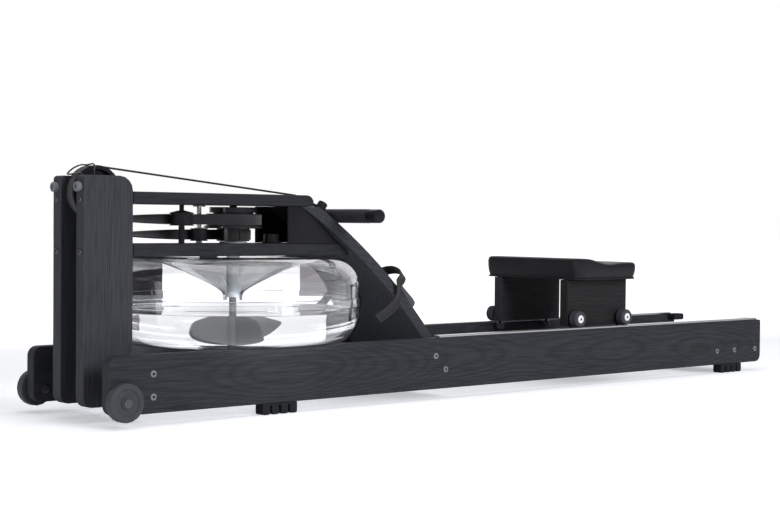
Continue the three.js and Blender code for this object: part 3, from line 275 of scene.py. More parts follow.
# %% [markdown]
# ## Metals, rubbers and moulded plastics
# The seat rolls on clear-anodised tracks with fine lines drawn along them. Posts and axles are steel,
# bright or blackened. Moulded parts carry the fine grain of their tool, close on satin plastic, coarser
# and duller on rubber. One function makes all of these, and the dull zinc of the screws too.

# %% Metal and moulded finishes
def drawn_metal(name, color, along, roughness):
    material, tree, shader = start_material(name, Metallic=1.0)
    scale = [6.0 if index == along else 900.0 for index in range(3)]
    lines = noise(tree, object_place(tree, scale), 1.0, 3.0, 0.6)
    dark = tuple(0.82 * value for value in color)
    paint(tree, shader, "Base Color", lines, (0.3, dark), (0.7, color))
    paint(tree, shader, "Roughness", lines, (0.3, grey(roughness * 0.75)), (0.7, grey(roughness * 1.3)))
    bump(tree, lines, shader, 0.00005, 0.5)
    return material


def moulded(name, color, roughness, grain=900.0, depth=0.00008, level=0.25, dust=1.35):
    material, tree, shader = start_material(name, Specular_IOR_Level=level)
    place = object_place(tree)
    patches = noise(tree, place, 14.0, 3.0, 0.6)
    grains = noise(tree, place, grain, 2.0, 0.5)
    pale = tuple(min(1.0, dust * value) for value in color)
    paint(tree, shader, "Base Color", patches, (0.35, color), (0.75, pale))
    low, high = grey(roughness * 0.85), grey(min(1.0, roughness * 1.2))
    paint(tree, shader, "Roughness", patches, (0.3, low), (0.7, high))
    bump(tree, grains, shader, depth, 0.5)
    return material


track_metal = drawn_metal("anodised_track_metal", (0.88, 0.89, 0.91), X_AXIS, 0.34)
bright_steel = drawn_metal("bright_steel", (0.72, 0.73, 0.75), Z_AXIS, 0.22)
dark_steel = drawn_metal("blackened_steel", (0.2, 0.2, 0.215), Z_AXIS, 0.35)
satin_black = moulded("satin_black_plastic", (0.011, 0.0113, 0.0135), 0.36)
gloss_black = moulded("gloss_black_plastic", (0.012, 0.0125, 0.015), 0.18, depth=0.00002, level=0.6)
wheel_black = moulded("wheel_plastic", (0.05, 0.052, 0.062), 0.42, 700.0)
paddle_grey = moulded("paddle_plastic", (0.05, 0.05, 0.054), 0.4)
rubber_black = moulded("black_rubber", (0.016, 0.0165, 0.019), 0.72, 500.0, 0.00015, 0.2)
bearing_pale = moulded("pale_bearing_plastic", (0.5, 0.54, 0.56), 0.45)
rubber_grey = moulded("grey_rubber", (0.14, 0.145, 0.165), 0.6, 500.0, 0.00012, 0.4)
heel_grey = moulded("heel_rest_plastic", (0.062, 0.065, 0.075), 0.5, 420.0, 0.00025, 0.45)
white_nylon = moulded("white_nylon", (0.72, 0.73, 0.75), 0.4)
screw_zinc = moulded("zinc_plated_screw", (0.17, 0.176, 0.19), 0.35, level=0.7)
print("metal and moulded finishes:", 13)

# %% [markdown]
# ## Clear tank and water
# The tank is clear polycarbonate, and water fills it to a little under the seam. Both are real bodies,
# so the water works as a thick lens, as in the real tank. Lamps don't find their way through bent
# surfaces, so for shadow rays alone the material is simply transparent. The funnel's wall has painted
# shade where it is seen edge on: its colour darkens there, standing in for the dark deck seen bent through it.

# %% Clear finishes
def clear(name, color, bending, roughness, ripple=0.0, ripple_size=30.0):
    material, tree, shader = start_material(
        name, Base_Color=(*color, 1), IOR=bending, Roughness=roughness, Transmission_Weight=1.0)
    if ripple:
        bump(tree, noise(tree, object_place(tree), ripple_size, 2.0, 0.5), shader, ripple, 0.6)
    passing = add(tree, "BsdfTransparent", {"Color": (*color, 1)})
    shadow_ray = add(tree, "LightPath").outputs["Is Shadow Ray"]
    mixed = add(tree, "MixShader", {
        0: shadow_ray, 1: shader.outputs["BSDF"], 2: passing.outputs["BSDF"]})
    tree.links.new(mixed.outputs[0], tree.nodes["Material Output"].inputs["Surface"])
    return material


clear_shell = clear("clear_polycarbonate", (0.985, 0.988, 0.995), 1.5, 0.0, 0.0002, 7.0)
funnel_shell_with_painted_shade = clear("funnel_polycarbonate_painted_shade", (0.97, 0.98, 0.99), 1.5, 0.0)
tree = funnel_shell_with_painted_shade.node_tree
# Painted shade: the funnel's colour darkens where its wall is seen edge on, for the dark deck seen through it.
edge_on_painted_shade = add(tree, "LayerWeight", {"Blend": 0.5}).outputs["Facing"]
paint(tree, tree.nodes["Principled BSDF"], "Base Color", edge_on_painted_shade, (0.2, (0.97, 0.98, 0.99)),
      (0.55, (0.4, 0.4, 0.42)))
tank_water = clear("tank_water", (0.975, 0.985, 0.995), 1.33, 0.0)

# %% [markdown]
# ## Webbing and pad skin
# The straps are narrow woven nylon. The weave follows the strap round every pulley, because each strap
# mesh carries the distance along it and across it at its points, and the material reads those in place
# of a position in space. The seat pad's skin has a fine, closed, leather-like grain.

# %% Woven and skinned finishes
WARP_STEP = 0.0012
WEFT_STEP = 0.0021


def webbing(name, color, lighter):
    material, tree, shader = start_material(
        name, Roughness=0.78, Sheen_Weight=0.25, Sheen_Roughness=0.5, Specular_IOR_Level=0.3)
    along = add(tree, "Attribute", attribute_name="along").outputs["Fac"]
    across = add(tree, "Attribute", attribute_name="across").outputs["Fac"]
    weft = maths(tree, "SINE", maths(tree, "MULTIPLY", along, 2 * math.pi / WEFT_STEP))
    warp = maths(tree, "SINE", maths(tree, "MULTIPLY", across, 2 * math.pi / WARP_STEP))
    weave = maths(tree, "MULTIPLY", weft, warp)
    mottled = maths(tree, "ADD", weave, noise(tree, object_place(tree), 180.0, 2.0, 0.6))
    paint(tree, shader, "Base Color", mottled, (0.1, color), (1.0, lighter))
    bump(tree, maths(tree, "ADD", weave, maths(tree, "MULTIPLY", weft, 0.7)), shader, 0.00025, 0.8)
    return material


def pad_skin(name):
    material, tree, shader = start_material(name, Specular_IOR_Level=0.32)
    place = object_place(tree)
    cells = add(tree, "TexVoronoi", {"Vector": place, "Scale": 520.0})
    cloud = noise(tree, place, 9.0, 3.0, 0.6)
    paint(tree, shader, "Base Color", cloud, (0.3, (0.011, 0.0112, 0.013)), (0.7, (0.018, 0.0185, 0.022)))
    paint(tree, shader, "Roughness", cloud, (0.3, grey(0.4)), (0.75, grey(0.55)))
    bump(tree, cells.outputs["Distance"], shader, 0.00025, 0.45)
    return material


strap_webbing = webbing("strap_webbing", (0.014, 0.0142, 0.016), (0.036, 0.037, 0.041))
foot_webbing = webbing("foot_webbing", (0.011, 0.0112, 0.0125), (0.028, 0.0285, 0.031))
seat_skin = pad_skin("seat_pad_skin")

# %% [markdown]
# ## Eased boards
# Real boards never have knife edges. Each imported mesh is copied, the triangles of its flat faces are
# dissolved, and a Bevel modifier rounds the edges. Weighted normals keep broad faces flat. The copy then
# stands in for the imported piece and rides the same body.

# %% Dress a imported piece
WELD = 0.00001
FLAT_ANGLE = math.radians(1.0)
ROUND_ANGLE = math.radians(34.0)


def smooth_piece(name, shape, material):
    mesh = bpy.data.meshes.new(name)
    shape.to_mesh(mesh)
    shape.free()
    mesh.shade_smooth()
    mesh.materials.append(material)
    return in_scene(name, mesh)


def eased(node, material, slot, edge, steps=2, dissolved=True):
    packed = frame["nodes"][node]
    shape = bmesh.new()
    shape.from_mesh(packed.data)
    bmesh.ops.remove_doubles(shape, verts=shape.verts[:], dist=WELD)
    if dissolved:
        bmesh.ops.dissolve_limit(
            shape, angle_limit=FLAT_ANGLE, verts=shape.verts[:], edges=shape.edges[:])
    piece = smooth_piece(node + "_dressed", shape, material)
    if edge:
        bevel = piece.modifiers.new("eased edges", "BEVEL")
        bevel.width = edge * MM
        bevel.segments = steps
        bevel.limit_method = "ANGLE"
        bevel.angle_limit = ROUND_ANGLE
    else:
        piece.data.set_sharp_from_angle(angle=ROUND_ANGLE)
    normals = piece.modifiers.new("flat faces", "WEIGHTED_NORMAL")
    normals.keep_sharp = True
    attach(piece, packed["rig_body"])
    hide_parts(node)


SIDES = {"near": -1, "far": 1}

for side in SIDES:
    eased(side + "_rail", ash_along, "stained_ash", 2.0, 3)
    eased(side + "_upright", ash_upright, "stained_ash", 2.5, 3)
    eased(side + "_seat_board", ash_seat_painted_light[side], "stained_ash", 1.5)
for board, finish, edge in [("upper_deck", ash_deck, 1.5), ("lower_deck", ash_deck, 1.5),
                            ("front_cross_board", ash_across, 1.5), ("rear_spreader", ash_across, 1.5),
                            ("footboard", ash_footboard, 2.0)]:
    eased(board, finish, "stained_ash", edge)
print("boards dressed:", 11)

# %% [markdown]
# The small moulded, rubber and steel pieces get the same treatment with a tighter edge. A table of names,
# finishes, slots and edge sizes in millimetres keeps this to one loop, and a name with braces is made for
# both sides. The paddle's blades cross, so it keeps its own triangles.

# %% Dress the small pieces
SMALL_PIECES = [
    ("{}_front_foot", rubber_black, "black_rubber", 0.8),
    ("{}_rear_foot", rubber_black, "black_rubber", 0.8),
    ("{}_buffer", rubber_grey, "grey_rubber", 0.8),
    ("{}_side_plate", satin_black, "black_plastic", 0.6),
    ("{}_handle_peg", rubber_black, "black_rubber", 1.0),
    ("{}_rear_stop", rubber_black, "black_rubber", 1.0),
    ("{}_heel_rest", heel_grey, "grey_plastic", 1.6),
    ("{}_wheel_axle", dark_steel, "steel", 0.6),
    ("shaft_bearing", bearing_pale, "grey_plastic", 0.5),
    ("paddle", paddle_grey, "black_plastic", 0.0, 2, False),
    ("front_strap_pulley", satin_black, "black_plastic", 0.4),
    ("recoil_pulley", satin_black, "black_plastic", 0.4),
    ("front_pulley_axle", dark_steel, "steel", 0.5),
    ("upper_idler", satin_black, "black_plastic", 0.4),
    ("lower_idler", satin_black, "black_plastic", 0.4),
    ("upper_idler_post", satin_black, "black_plastic", 0.0),
    ("lower_idler_post", bright_steel, "steel", 0.0),
    ("speed_sensor", satin_black, "black_plastic", 0.5),
    ("strap_keeper", dark_steel, "steel", 0.0),
    ("{}_track", track_metal, "anodised_track", 0.0),
]
small_names = []
for pattern, *finish in SMALL_PIECES:
    names = [pattern.format(side) for side in SIDES] if "{}" in pattern else [pattern]
    small_names += names
    for name in names:
        eased(name, *finish)
print("small pieces dressed:", len(small_names))

# %% [markdown]
# ## Turned pieces
# Rollers, drum, handle and tank are bodies of revolution. As on a lathe, a profile of radius and height
# is carried round an axis, ring by ring. Corners sharper than a set angle stay crisp, and the rest is
# shaded smooth. Pieces that aren't round are lofted through rings.

# %% Turn and loft
TURN_STEPS = 64
CRISP_ANGLE = math.radians(40)


def facing(direction):
    """A rotation that carries the lathe's upright axis onto a direction."""
    return Vector((0, 0, 1)).rotation_difference(Vector(direction)).to_matrix().to_4x4()


def finished(name, shape, material, body, place=None, replaced=(), crisp=CRISP_ANGLE):
    bmesh.ops.recalc_face_normals(shape, faces=shape.faces[:])
    piece = smooth_piece(name, shape, material)
    piece.data.set_sharp_from_angle(angle=crisp)
    if place is not None:
        piece.data.transform(place)
    if body:
        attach(piece, body)
    if replaced:
        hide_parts(*replaced)
    return piece


def turned_shape(profile, steps=TURN_STEPS):
    """A closed body from a closed profile of radius and height, in millimetres."""
    shape = bmesh.new()
    rings = []
    for radius, height in profile:
        angles = [2 * math.pi * k / steps for k in range(steps if radius > 0 else 1)]
        rings.append([shape.verts.new((
            radius * MM * math.cos(angle), radius * MM * math.sin(angle), height * MM)) for angle in angles])
    for lower, upper in zip(rings, rings[1:] + rings[:1]):
        for k in range(steps if len(lower) + len(upper) > 2 else 0):
            corners = [lower[k % len(lower)], lower[(k + 1) % len(lower)],
                       upper[(k + 1) % len(upper)], upper[k % len(upper)]]
            shape.faces.new(list(dict.fromkeys(corners)))
    return shape


def mirrored(half, middle=()):
    return [(radius, -height) for radius, height in half] + list(middle) + half[::-1]


def lofted(rings):
    """A closed body through rings of points, flat at both ends."""
    shape = bmesh.new()
    rings = [[shape.verts.new(point) for point in ring] for ring in rings]
    for lower, upper in zip(rings, rings[1:]):
        for k in range(len(lower)):
            shape.faces.new([lower[k - 1], lower[k], upper[k], upper[k - 1]])
    shape.faces.new(rings[0])
    shape.faces.new(rings[-1])
    return shape


def turned(name, profile, centre, direction, material, body, slot, replaced=(), steps=TURN_STEPS):
    place = Matrix.Translation(spot(*centre)) @ facing(direction)
    return finished(name, turned_shape(profile, steps), material, body, place, replaced)


def arc(centre, radius, start, end, steps):
    angles = [math.radians(start + (end - start) * k / steps) for k in range(steps + 1)]
    return [(centre[0] + radius * math.cos(angle), centre[1] + radius * math.sin(angle)) for angle in angles]


# %% [markdown]
# The tank is two shells: a bowl whose rim stands up inside, and a cover with a broad shoulder, a skirt
# that overlaps the rim and a funnel in the middle round the shaft. The wall is 4 mm. A fine lathe
# matters most here, because every facet of clear plastic bends what is seen through it.

# %% Tank shells
TANK_X = 406.0
TANK_RADIUS = 278.0
TANK_WALL = 4.0
TANK_BOTTOM = 141.1
TANK_TOP = TANK_BOTTOM + 189.0
BOWL_ROUND = 63.0
SHOULDER_ROUND = 66.0
SEAM_LOW, SEAM_HIGH, SEAM_PROUD = 223.0, 243.0, 3.0
RIM_INSET = 1.0
FIT = 0.3
FUNNEL_MOUTH, FUNNEL_NECK, FUNNEL_NECK_Z = 165.0, 17.0, 233.0
FUNNEL_CONE, FUNNEL_FLARE = 0.72, 0.15
TANK_STEPS = 192
ROUND_STEPS = 20

bowl_centre = (TANK_RADIUS - BOWL_ROUND, TANK_BOTTOM + BOWL_ROUND)
bowl_profile = [
    (0, TANK_BOTTOM),
    *arc(bowl_centre, BOWL_ROUND, -90, 0, ROUND_STEPS),
    (TANK_RADIUS, SEAM_LOW - FIT),
    (TANK_RADIUS - RIM_INSET, SEAM_LOW - FIT),
    (TANK_RADIUS - RIM_INSET, SEAM_HIGH - TANK_WALL),
    (TANK_RADIUS - TANK_WALL, SEAM_HIGH - TANK_WALL),
    *arc(bowl_centre, BOWL_ROUND - TANK_WALL, 0, -90, ROUND_STEPS),
    (0, TANK_BOTTOM + TANK_WALL),
]


def funnel(wall):
    """One face of the funnel: a shallow cone that turns down into a steep neck."""
    points = []
    for share in [(k / ROUND_STEPS) ** 2 for k in range(ROUND_STEPS + 1)]:
        climb = FUNNEL_CONE * share + (1 - FUNNEL_CONE) * share ** FUNNEL_FLARE
        radius = FUNNEL_NECK + (FUNNEL_MOUTH - FUNNEL_NECK) * share
        height = FUNNEL_NECK_Z + (TANK_TOP - FUNNEL_NECK_Z) * climb
        points.append((radius + wall * (1 - share), height - wall * share))
    return points


shoulder_centre = (TANK_RADIUS - SHOULDER_ROUND, TANK_TOP - SHOULDER_ROUND)
cover_profile = [
    (TANK_RADIUS - RIM_INSET + FIT, SEAM_LOW),
    (TANK_RADIUS + SEAM_PROUD - 1, SEAM_LOW),
    (TANK_RADIUS + SEAM_PROUD, SEAM_LOW + 1),
    (TANK_RADIUS + SEAM_PROUD, SEAM_HIGH - 1),
    (TANK_RADIUS + SEAM_PROUD - 1, SEAM_HIGH),
    (TANK_RADIUS, SEAM_HIGH),
    *arc(shoulder_centre, SHOULDER_ROUND, 0, 90, ROUND_STEPS),
    *funnel(0)[-2::-1],
    *funnel(TANK_WALL)[:-1],
    *arc(shoulder_centre, SHOULDER_ROUND - TANK_WALL, 90, 0, ROUND_STEPS),
    (TANK_RADIUS - TANK_WALL, SEAM_HIGH - TANK_WALL + FIT),
    (TANK_RADIUS - RIM_INSET + FIT, SEAM_HIGH - TANK_WALL + FIT),
]
UP = (0, 0, 1)
turned("tank_bowl", bowl_profile, (TANK_X, 0, 0), UP, clear_shell, "frame", "clear_shell",
       ["tank_lower_shell"], TANK_STEPS)
cover = turned("tank_cover", cover_profile, (TANK_X, 0, 0), UP, clear_shell, "frame", "clear_shell",
               ["tank_upper_shell"], TANK_STEPS)
cover.data.materials.append(funnel_shell_with_painted_shade)
funnel_rim = (FUNNEL_MOUTH - TANK_WALL) * MM
tank_axis = spot(TANK_X, 0, 0).xy
for polygon in cover.data.polygons:
    if (polygon.center.xy - tank_axis).length < funnel_rim:
        polygon.material_index = 1

# %% [markdown]
# The water follows the inside of the bowl a hair's breadth away from it and ends in a level surface,
# which climbs slightly where it wets the wall.

# %% Water
WATER_LEVEL = 213.0
WATER_FIT = 0.25
MENISCUS = 1.6
water_profile = [
    (0, TANK_BOTTOM + TANK_WALL + WATER_FIT),
    *arc(bowl_centre, BOWL_ROUND - TANK_WALL - WATER_FIT, -90, 0, ROUND_STEPS),
    (TANK_RADIUS - TANK_WALL - WATER_FIT, WATER_LEVEL + MENISCUS),
    (TANK_RADIUS - TANK_WALL - MENISCUS, WATER_LEVEL + MENISCUS / 4),
    (TANK_RADIUS - TANK_WALL - 3 * MENISCUS, WATER_LEVEL),
    (TANK_RADIUS / 2, WATER_LEVEL),
    (0, WATER_LEVEL),
]
turned("water", water_profile, (TANK_X, 0, 0), UP, tank_water, "frame", "clear_shell", (), TANK_STEPS)
water_litres = math.pi * (TANK_RADIUS * MM) ** 2 * (WATER_LEVEL - TANK_BOTTOM) * MM * 1000
print("water, about litres:", round(water_litres))

# %% [markdown]
# A black filler plug lies on the flat of the cover. Its disc has a rolled rim round a sunk middle.

# %% Filler plug
PLUG_PLACE = (240.0, -150.0, TANK_TOP + 0.2)
plug_profile = [
    (0, 0), (17, 0), (18.5, 0.8), (18.5, 2.2), (17.2, 3.2), (14, 3.2), (13, 2.4), (0, 2.4)]
turned("filler_plug", plug_profile, PLUG_PLACE, UP, rubber_black, "frame", "black_rubber", (), 48)
print("plug place, mm:", PLUG_PLACE)

# %% [markdown]
# ## Drum, wheels and rollers
# The clutch drum is a deep spool of gloss black plastic with a smaller hub below for the recoil strap.
# It is turned finely, because its gloss shows every facet.

# %% Clutch drum
HUB_BOTTOM, HUB_TOP = 361.5, 389.0
above_hub = [
    (36, 0), (63.2, 0), (64, 0.8), (64, 5.2), (63.2, 6), (59, 6), (59, 31.4), (58.4, 32), (44, 32), (44, 34),
    (51.4, 34), (52, 34.6), (52, 45), (51, 46), (8.6, 46)]
drum_profile = [(8.6, HUB_BOTTOM), (36, HUB_BOTTOM)]
drum_profile += [(radius, HUB_TOP + height) for radius, height in above_hub]
print("packed drum, mm:", machine_box("clutch_drum"))
turned("clutch_drum_turned", drum_profile, (TANK_X, 0, 0), UP, gloss_black, "drum",
       "black_plastic", ["clutch_drum"], 96)

# %% [markdown]
# The four seat rollers have ribbed treads and a white cap over each pin. Four small guide wheels run on
# the rails' inner faces. The ribs are the same few points, repeated.

# %% Seat rollers and guide wheels
ROLLER_RADIUS, ROLLER_HALF = 20.0, 12.0
RIB_STEP, RIB_DEPTH, RIB_COUNT = 5.1, 1.1, 4
rib_profile = []
for k in range(RIB_COUNT):
    middle = (k - (RIB_COUNT - 1) / 2) * RIB_STEP
    rib_profile += [
        (ROLLER_RADIUS - RIB_DEPTH, middle - 2.1), (ROLLER_RADIUS, middle - 1.4),
        (ROLLER_RADIUS, middle + 1.4), (ROLLER_RADIUS - RIB_DEPTH, middle + 2.1)]
roller_profile = mirrored([
    (4.4, ROLLER_HALF - 2), (11, ROLLER_HALF - 2), (12, ROLLER_HALF), (17, ROLLER_HALF),
    (18.6, ROLLER_HALF - 1.4)], rib_profile)
cap_profile = [
    (0, 0), (9.6, 0), (10, 0.4), (10, 1.4), (9.2, 2), (6.4, 2), (5.8, 2.6), (3.4, 2.6), (2.8, 1.4), (0, 1.4)]
guide_profile = mirrored([(3.9, 7), (10.6, 7), (12, 5.4), (12, 2.4), (10.9, 1.2)])

for side, sign in SIDES.items():
    for end in ("front", "rear"):
        body = f"{side}_{end}_roller"
        centre = machine_middle(body)
        turned(body + "_turned", roller_profile, centre, (0, 1, 0), wheel_black, body,
               "black_plastic", [body], 48)
        outer = (centre.x, centre.y + sign * (ROLLER_HALF - 2), centre.z)
        turned(body + "_cap", cap_profile, outer, (0, sign, 0), white_nylon, body, "grey_plastic", (), 32)
        guide = f"{side}_{end}_guide_wheel"
        turned(guide + "_turned", guide_profile, machine_middle(guide), UP, wheel_black,
               f"{side}_{end}_guide", "black_plastic", [guide], 40)
print("rollers and guide wheels:", 8)

# %% [markdown]
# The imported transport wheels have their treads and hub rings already, so they are only eased.

# %% Transport wheels
for side in SIDES:
    eased(side + "_transport_wheel", wheel_black, "black_rubber", 0.8)
print("wheel, mm:", machine_box("near_transport_wheel"))

# %% [markdown]
# ## Handle
# The bar is held up to two rubber pegs on the curved footboard by its strap. It is one turned stick with
# a slightly slimmer sleeve at each end, and the ends are rounded over.

# %% Handle
HANDLE_RADIUS, HANDLE_HALF, SLEEVE = 15.5, 211.5, 38.0
handle_centre = machine_middle("handle")
bar_half = HANDLE_HALF - SLEEVE
bar_profile = mirrored([(0, bar_half), (14.6, bar_half), (HANDLE_RADIUS, bar_half - 1)])
turned("handle_bar", bar_profile, handle_centre, (0, 1, 0), ash_handle, "handle", "stained_ash",
       ["handle"])
sleeve_profile = [
    (0, 0.2), (14.4, 0.2), (15, 0.8), (15, SLEEVE - 5),
    *arc((10, SLEEVE - 5), 5, 10, 90, 6), (0, SLEEVE)]
for side, sign in SIDES.items():
    start = (handle_centre.x, sign * bar_half, handle_centre.z)
    turned(side + "_handle_sleeve", sleeve_profile, start, (0, sign, 0), satin_black, "handle",
           "black_plastic")
print("handle centre, mm:", handle_centre)

# %% [markdown]
# ## Woven straps
# A strap is a thin ribbon that runs over pulleys, turns on edge to go round the drum and ends on the
# handle. Its path is a list of stations, each with a point and the direction of the strap's width.
# Small helpers give the straight lines that touch two circles, the arcs round them and the twists.

# %% Paths round pulleys
GAP = 0.3
STRAP_WIDTH, STRAP_THICKNESS = 22.0, 2.4
HALF_STRAP = STRAP_THICKNESS / 2
TURN_DEGREES = 4
ACROSS = Vector((0, 1, 0))
UPWARD = Vector((0, 0, 1))


def touching_run(first, first_radius, first_side, second, second_radius, second_side):
    """The straight run between two circles: its two ends, and the angles there, in degrees."""
    a, b = Vector(first), Vector(second)
    reach = (b - a).length
    along = (b - a) / reach
    lean = (first_side * first_radius - second_side * second_radius) / reach
    normal = along * lean + Vector((-along.y, along.x)) * math.sqrt(1 - lean * lean)
    start = a + normal * first_side * first_radius
    end = b + normal * second_side * second_radius
    return start, end, *(math.degrees(math.atan2(normal.y * side, normal.x * side))
                         for side in (first_side, second_side))


def turn_round(centre, radius, start, end):
    steps = max(1, math.ceil(abs(end - start) / TURN_DEGREES))
    return arc(centre, radius, start, end, steps)


def seen_from_side(points):
    return [(Vector((x, 0, z)), ACROSS) for x, z in points]


def seen_from_above(points, level):
    return [(Vector((x, y, level)), UPWARD) for x, y in points]


def quarter_twist(start, end, steps=24):
    stations = []
    for k in range(1, steps):
        turn = k / steps * math.pi / 2
        width = (start[1] * math.cos(turn) + end[1] * math.sin(turn)).normalized()
        stations.append((start[0].lerp(end[0], k / steps), width))
    return stations


# %% [markdown]
# A woven strap is thicker along its two borders and round at its edges. Its section is lofted through
# the stations, and each point keeps how far along and across the strap it lies, for the weave.

# %% Weave a strap mesh
BORDER, BORDER_STEP, BORDER_DIP = 1.8, 0.6, 0.25
EDGE_IN, EDGE_UP = 0.3, 0.6
WOVEN_CRISP = math.radians(50)


def woven(name, stations, body, replaced, material=strap_webbing, width=STRAP_WIDTH):
    half, edge = width / 2, HALF_STRAP
    inner = half - edge - BORDER
    right_top = [(inner - BORDER_STEP, edge - BORDER_DIP), (inner, edge), (half - edge, edge)]
    top = [(-a, b) for a, b in right_top[::-1]] + right_top
    right_edge = [(half - edge * EDGE_IN, edge * EDGE_UP), (half, 0), (half - edge * EDGE_IN, -edge * EDGE_UP)]
    section = top + right_edge + [(a, -b) for a, b in reversed(top)] + [(-a, -b) for a, b in right_edge]
    rings, along, length = [], [], 0.0
    for k, (point, side) in enumerate(stations):
        before, after = stations[max(k - 1, 0)][0], stations[min(k + 1, len(stations) - 1)][0]
        if k:
            length += (point - before).length
        out = (after - before).normalized().cross(side).normalized()
        rings.append([spot(*(point + side * a + out * b)) for a, b in section])
        along.append(length)
    piece = finished(name, lofted(rings), material, body, None, replaced, WOVEN_CRISP)
    values = {"along": [v * MM for v in along for _ in section],
              "across": [a * MM for _ in along for a, _ in section]}
    for key, numbers in values.items():
        piece.data.attributes.new(key, "FLOAT", "POINT").data.foreach_set("value", numbers)
    print(name, "length, mm:", round(length))
    return piece


# %% [markdown]
# The drive strap comes off the deck's rear edge, runs forward over the front pulley, twists a quarter
# turn on its way back and winds onto the clutch drum past the upper idler.

# %% Drive strap and free run
LIFT = GAP + HALF_STRAP
PULLEY, ON_PULLEY, ON_IDLER, ON_DRUM = (61.0, 461.0), 52.0 + LIFT, 23.5 + LIFT, 59.0 + LIFT
IDLER = (256.5, -ON_IDLER)
DRUM = (TANK_X, 0.0)
DRUM_LEVEL = 408.0
DRUM_WRAP = 235.0
DECK_ROUND = 18.0
HANDLE_WRAP_END = -40.0

deck_low, deck_high = machine_box("upper_deck")
deck_corner = (deck_high.x - DECK_ROUND, deck_high.z - DECK_ROUND)
ON_DECK, ON_HANDLE = DECK_ROUND + LIFT, HANDLE_RADIUS + LIFT

_, deck_end, pulley_angle, deck_angle = touching_run(PULLEY, ON_PULLEY, 1, deck_corner, ON_DECK, 1)
_, _, idler_angle, drum_angle = touching_run(IDLER, ON_IDLER, 1, DRUM, ON_DRUM, -1)
over_pulley = seen_from_side([deck_end - Vector((GAP, 0))] + turn_round(PULLEY, ON_PULLEY, pulley_angle, 270))
round_drum = seen_from_above(
    turn_round(IDLER, ON_IDLER, 90, idler_angle)
    + turn_round(DRUM, ON_DRUM, drum_angle, drum_angle + DRUM_WRAP), DRUM_LEVEL)
drive_path = over_pulley + quarter_twist(over_pulley[-1], round_drum[0]) + round_drum
woven("drive_strap_woven", drive_path, "frame", ["drive_strap"])

bar = (handle_centre.x, handle_centre.z)
free_start, free_end, corner_angle, bar_angle = touching_run(deck_corner, ON_DECK, 1, bar, ON_HANDLE, 1)
free_path = seen_from_side(
    turn_round(deck_corner, ON_DECK, deck_angle, corner_angle)
    + turn_round(bar, ON_HANDLE, bar_angle, HANDLE_WRAP_END))

# %% [markdown]
# The last stretch of the drive strap pays out as the handle is pulled. Here it is one mesh from the deck
# to the bar, with extra stations along its straight run. It rides no body.

# %% Free run to the handle
RUN_STATIONS = 24
corner_points = len(turn_round(deck_corner, ON_DECK, deck_angle, corner_angle))
(run_start, side), (run_end, _) = free_path[corner_points - 1:corner_points + 1]
free_path[corner_points:corner_points] = [
    (run_start.lerp(run_end, k / RUN_STATIONS), side) for k in range(1, RUN_STATIONS)]
free_run = woven("free_run_woven", free_path, None, ["strap_free_run"])
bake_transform(free_run)

# %% [markdown]
# The recoil strap brings the handle back. It leaves the far side of the drum's hub, runs past the lower
# idler, turns flat, goes round its own pulley and ends clamped behind the front cross board.

# %% Recoil strap
RECOIL, ON_RECOIL, ON_HUB = (84.0, 349.0), 25.0 + LIFT, 36.0 + LIFT
HUB_LEVEL = 375.25
HUB_WRAP = 200.0
LOWER_IDLER_X, LOWER_FLANGE = 323.0, 19.0
ANCHOR_INSET = 6

board_low, board_high = machine_box("front_cross_board")
anchor_x = board_low.x - LIFT
anchor_top = board_high.z - ANCHOR_INSET
anchor_bottom = board_low.z + (board_high.z - board_low.z) / 3
_, _, down_angle, _ = touching_run(RECOIL, ON_RECOIL, -1, (anchor_x, anchor_top), 0, -1)
hub_start, hub_end, _, hub_angle = touching_run((RECOIL[0], 0), 0, 1, DRUM, ON_HUB, 1)
share = (LOWER_IDLER_X - LOWER_FLANGE - hub_start.x) / (hub_end.x - hub_start.x)
past_idler = hub_start.lerp(hub_end, share)
rising = seen_from_side(
    [(anchor_x, anchor_bottom), (anchor_x, anchor_top)]
    + turn_round(RECOIL, ON_RECOIL, down_angle + 360, 90))
round_hub = seen_from_above(
    [past_idler] + turn_round(DRUM, ON_HUB, hub_angle, hub_angle - HUB_WRAP), HUB_LEVEL)
recoil_path = rising + quarter_twist(rising[-1], round_hub[0]) + round_hub
woven("recoil_strap_woven", recoil_path, "frame", ["recoil_strap"])

# %% [markdown]
# A foot strap starts on the footboard beside the middle plane, arches over the foot and hangs down past
# the board's edge. It is built on top of the board's circle and then turned down to its place.

# %% Foot straps
BOARD_CENTRE = (34.9975, -363.0006)
BOARD_RADIUS = 977.0
STRAP_PLACE = 42 + math.degrees(-23.9 / BOARD_RADIUS)
FOOT_SPACING = 158.0
STRAP_SPAN, STRAP_RISE, STRAP_TAIL, STRAP_SLANT = 78.0, 34.0, 100.0, 9.0
FOOT_STRAP_WIDTH = 24.0
ARCH_STEPS = 40
TAIL_ROUTE, TAIL_STEPS = [(0.3, 0.2), (0.36, 0.45), (0.34, 0.72), (0.27, 1)], 6
turn_down = Matrix.Rotation(math.radians(90 - STRAP_PLACE), 3, "Y")
downhill = turn_down @ Vector((1, 0, 0))


def smooth_route(points, steps):
    """A smooth route that passes through each of the points."""
    padded = [points[0]] + points + [points[-1]]
    route = []
    for a, b, c, d in zip(padded, padded[1:], padded[2:], padded[3:]):
        for k in range(steps):
            t = k / steps
            route.append(0.5 * ((2 * b) + (c - a) * t + (2 * a - 5 * b + 4 * c - d) * t ** 2
                                + (3 * b - a - 3 * c + d) * t ** 3))
    return route + [points[-1]]


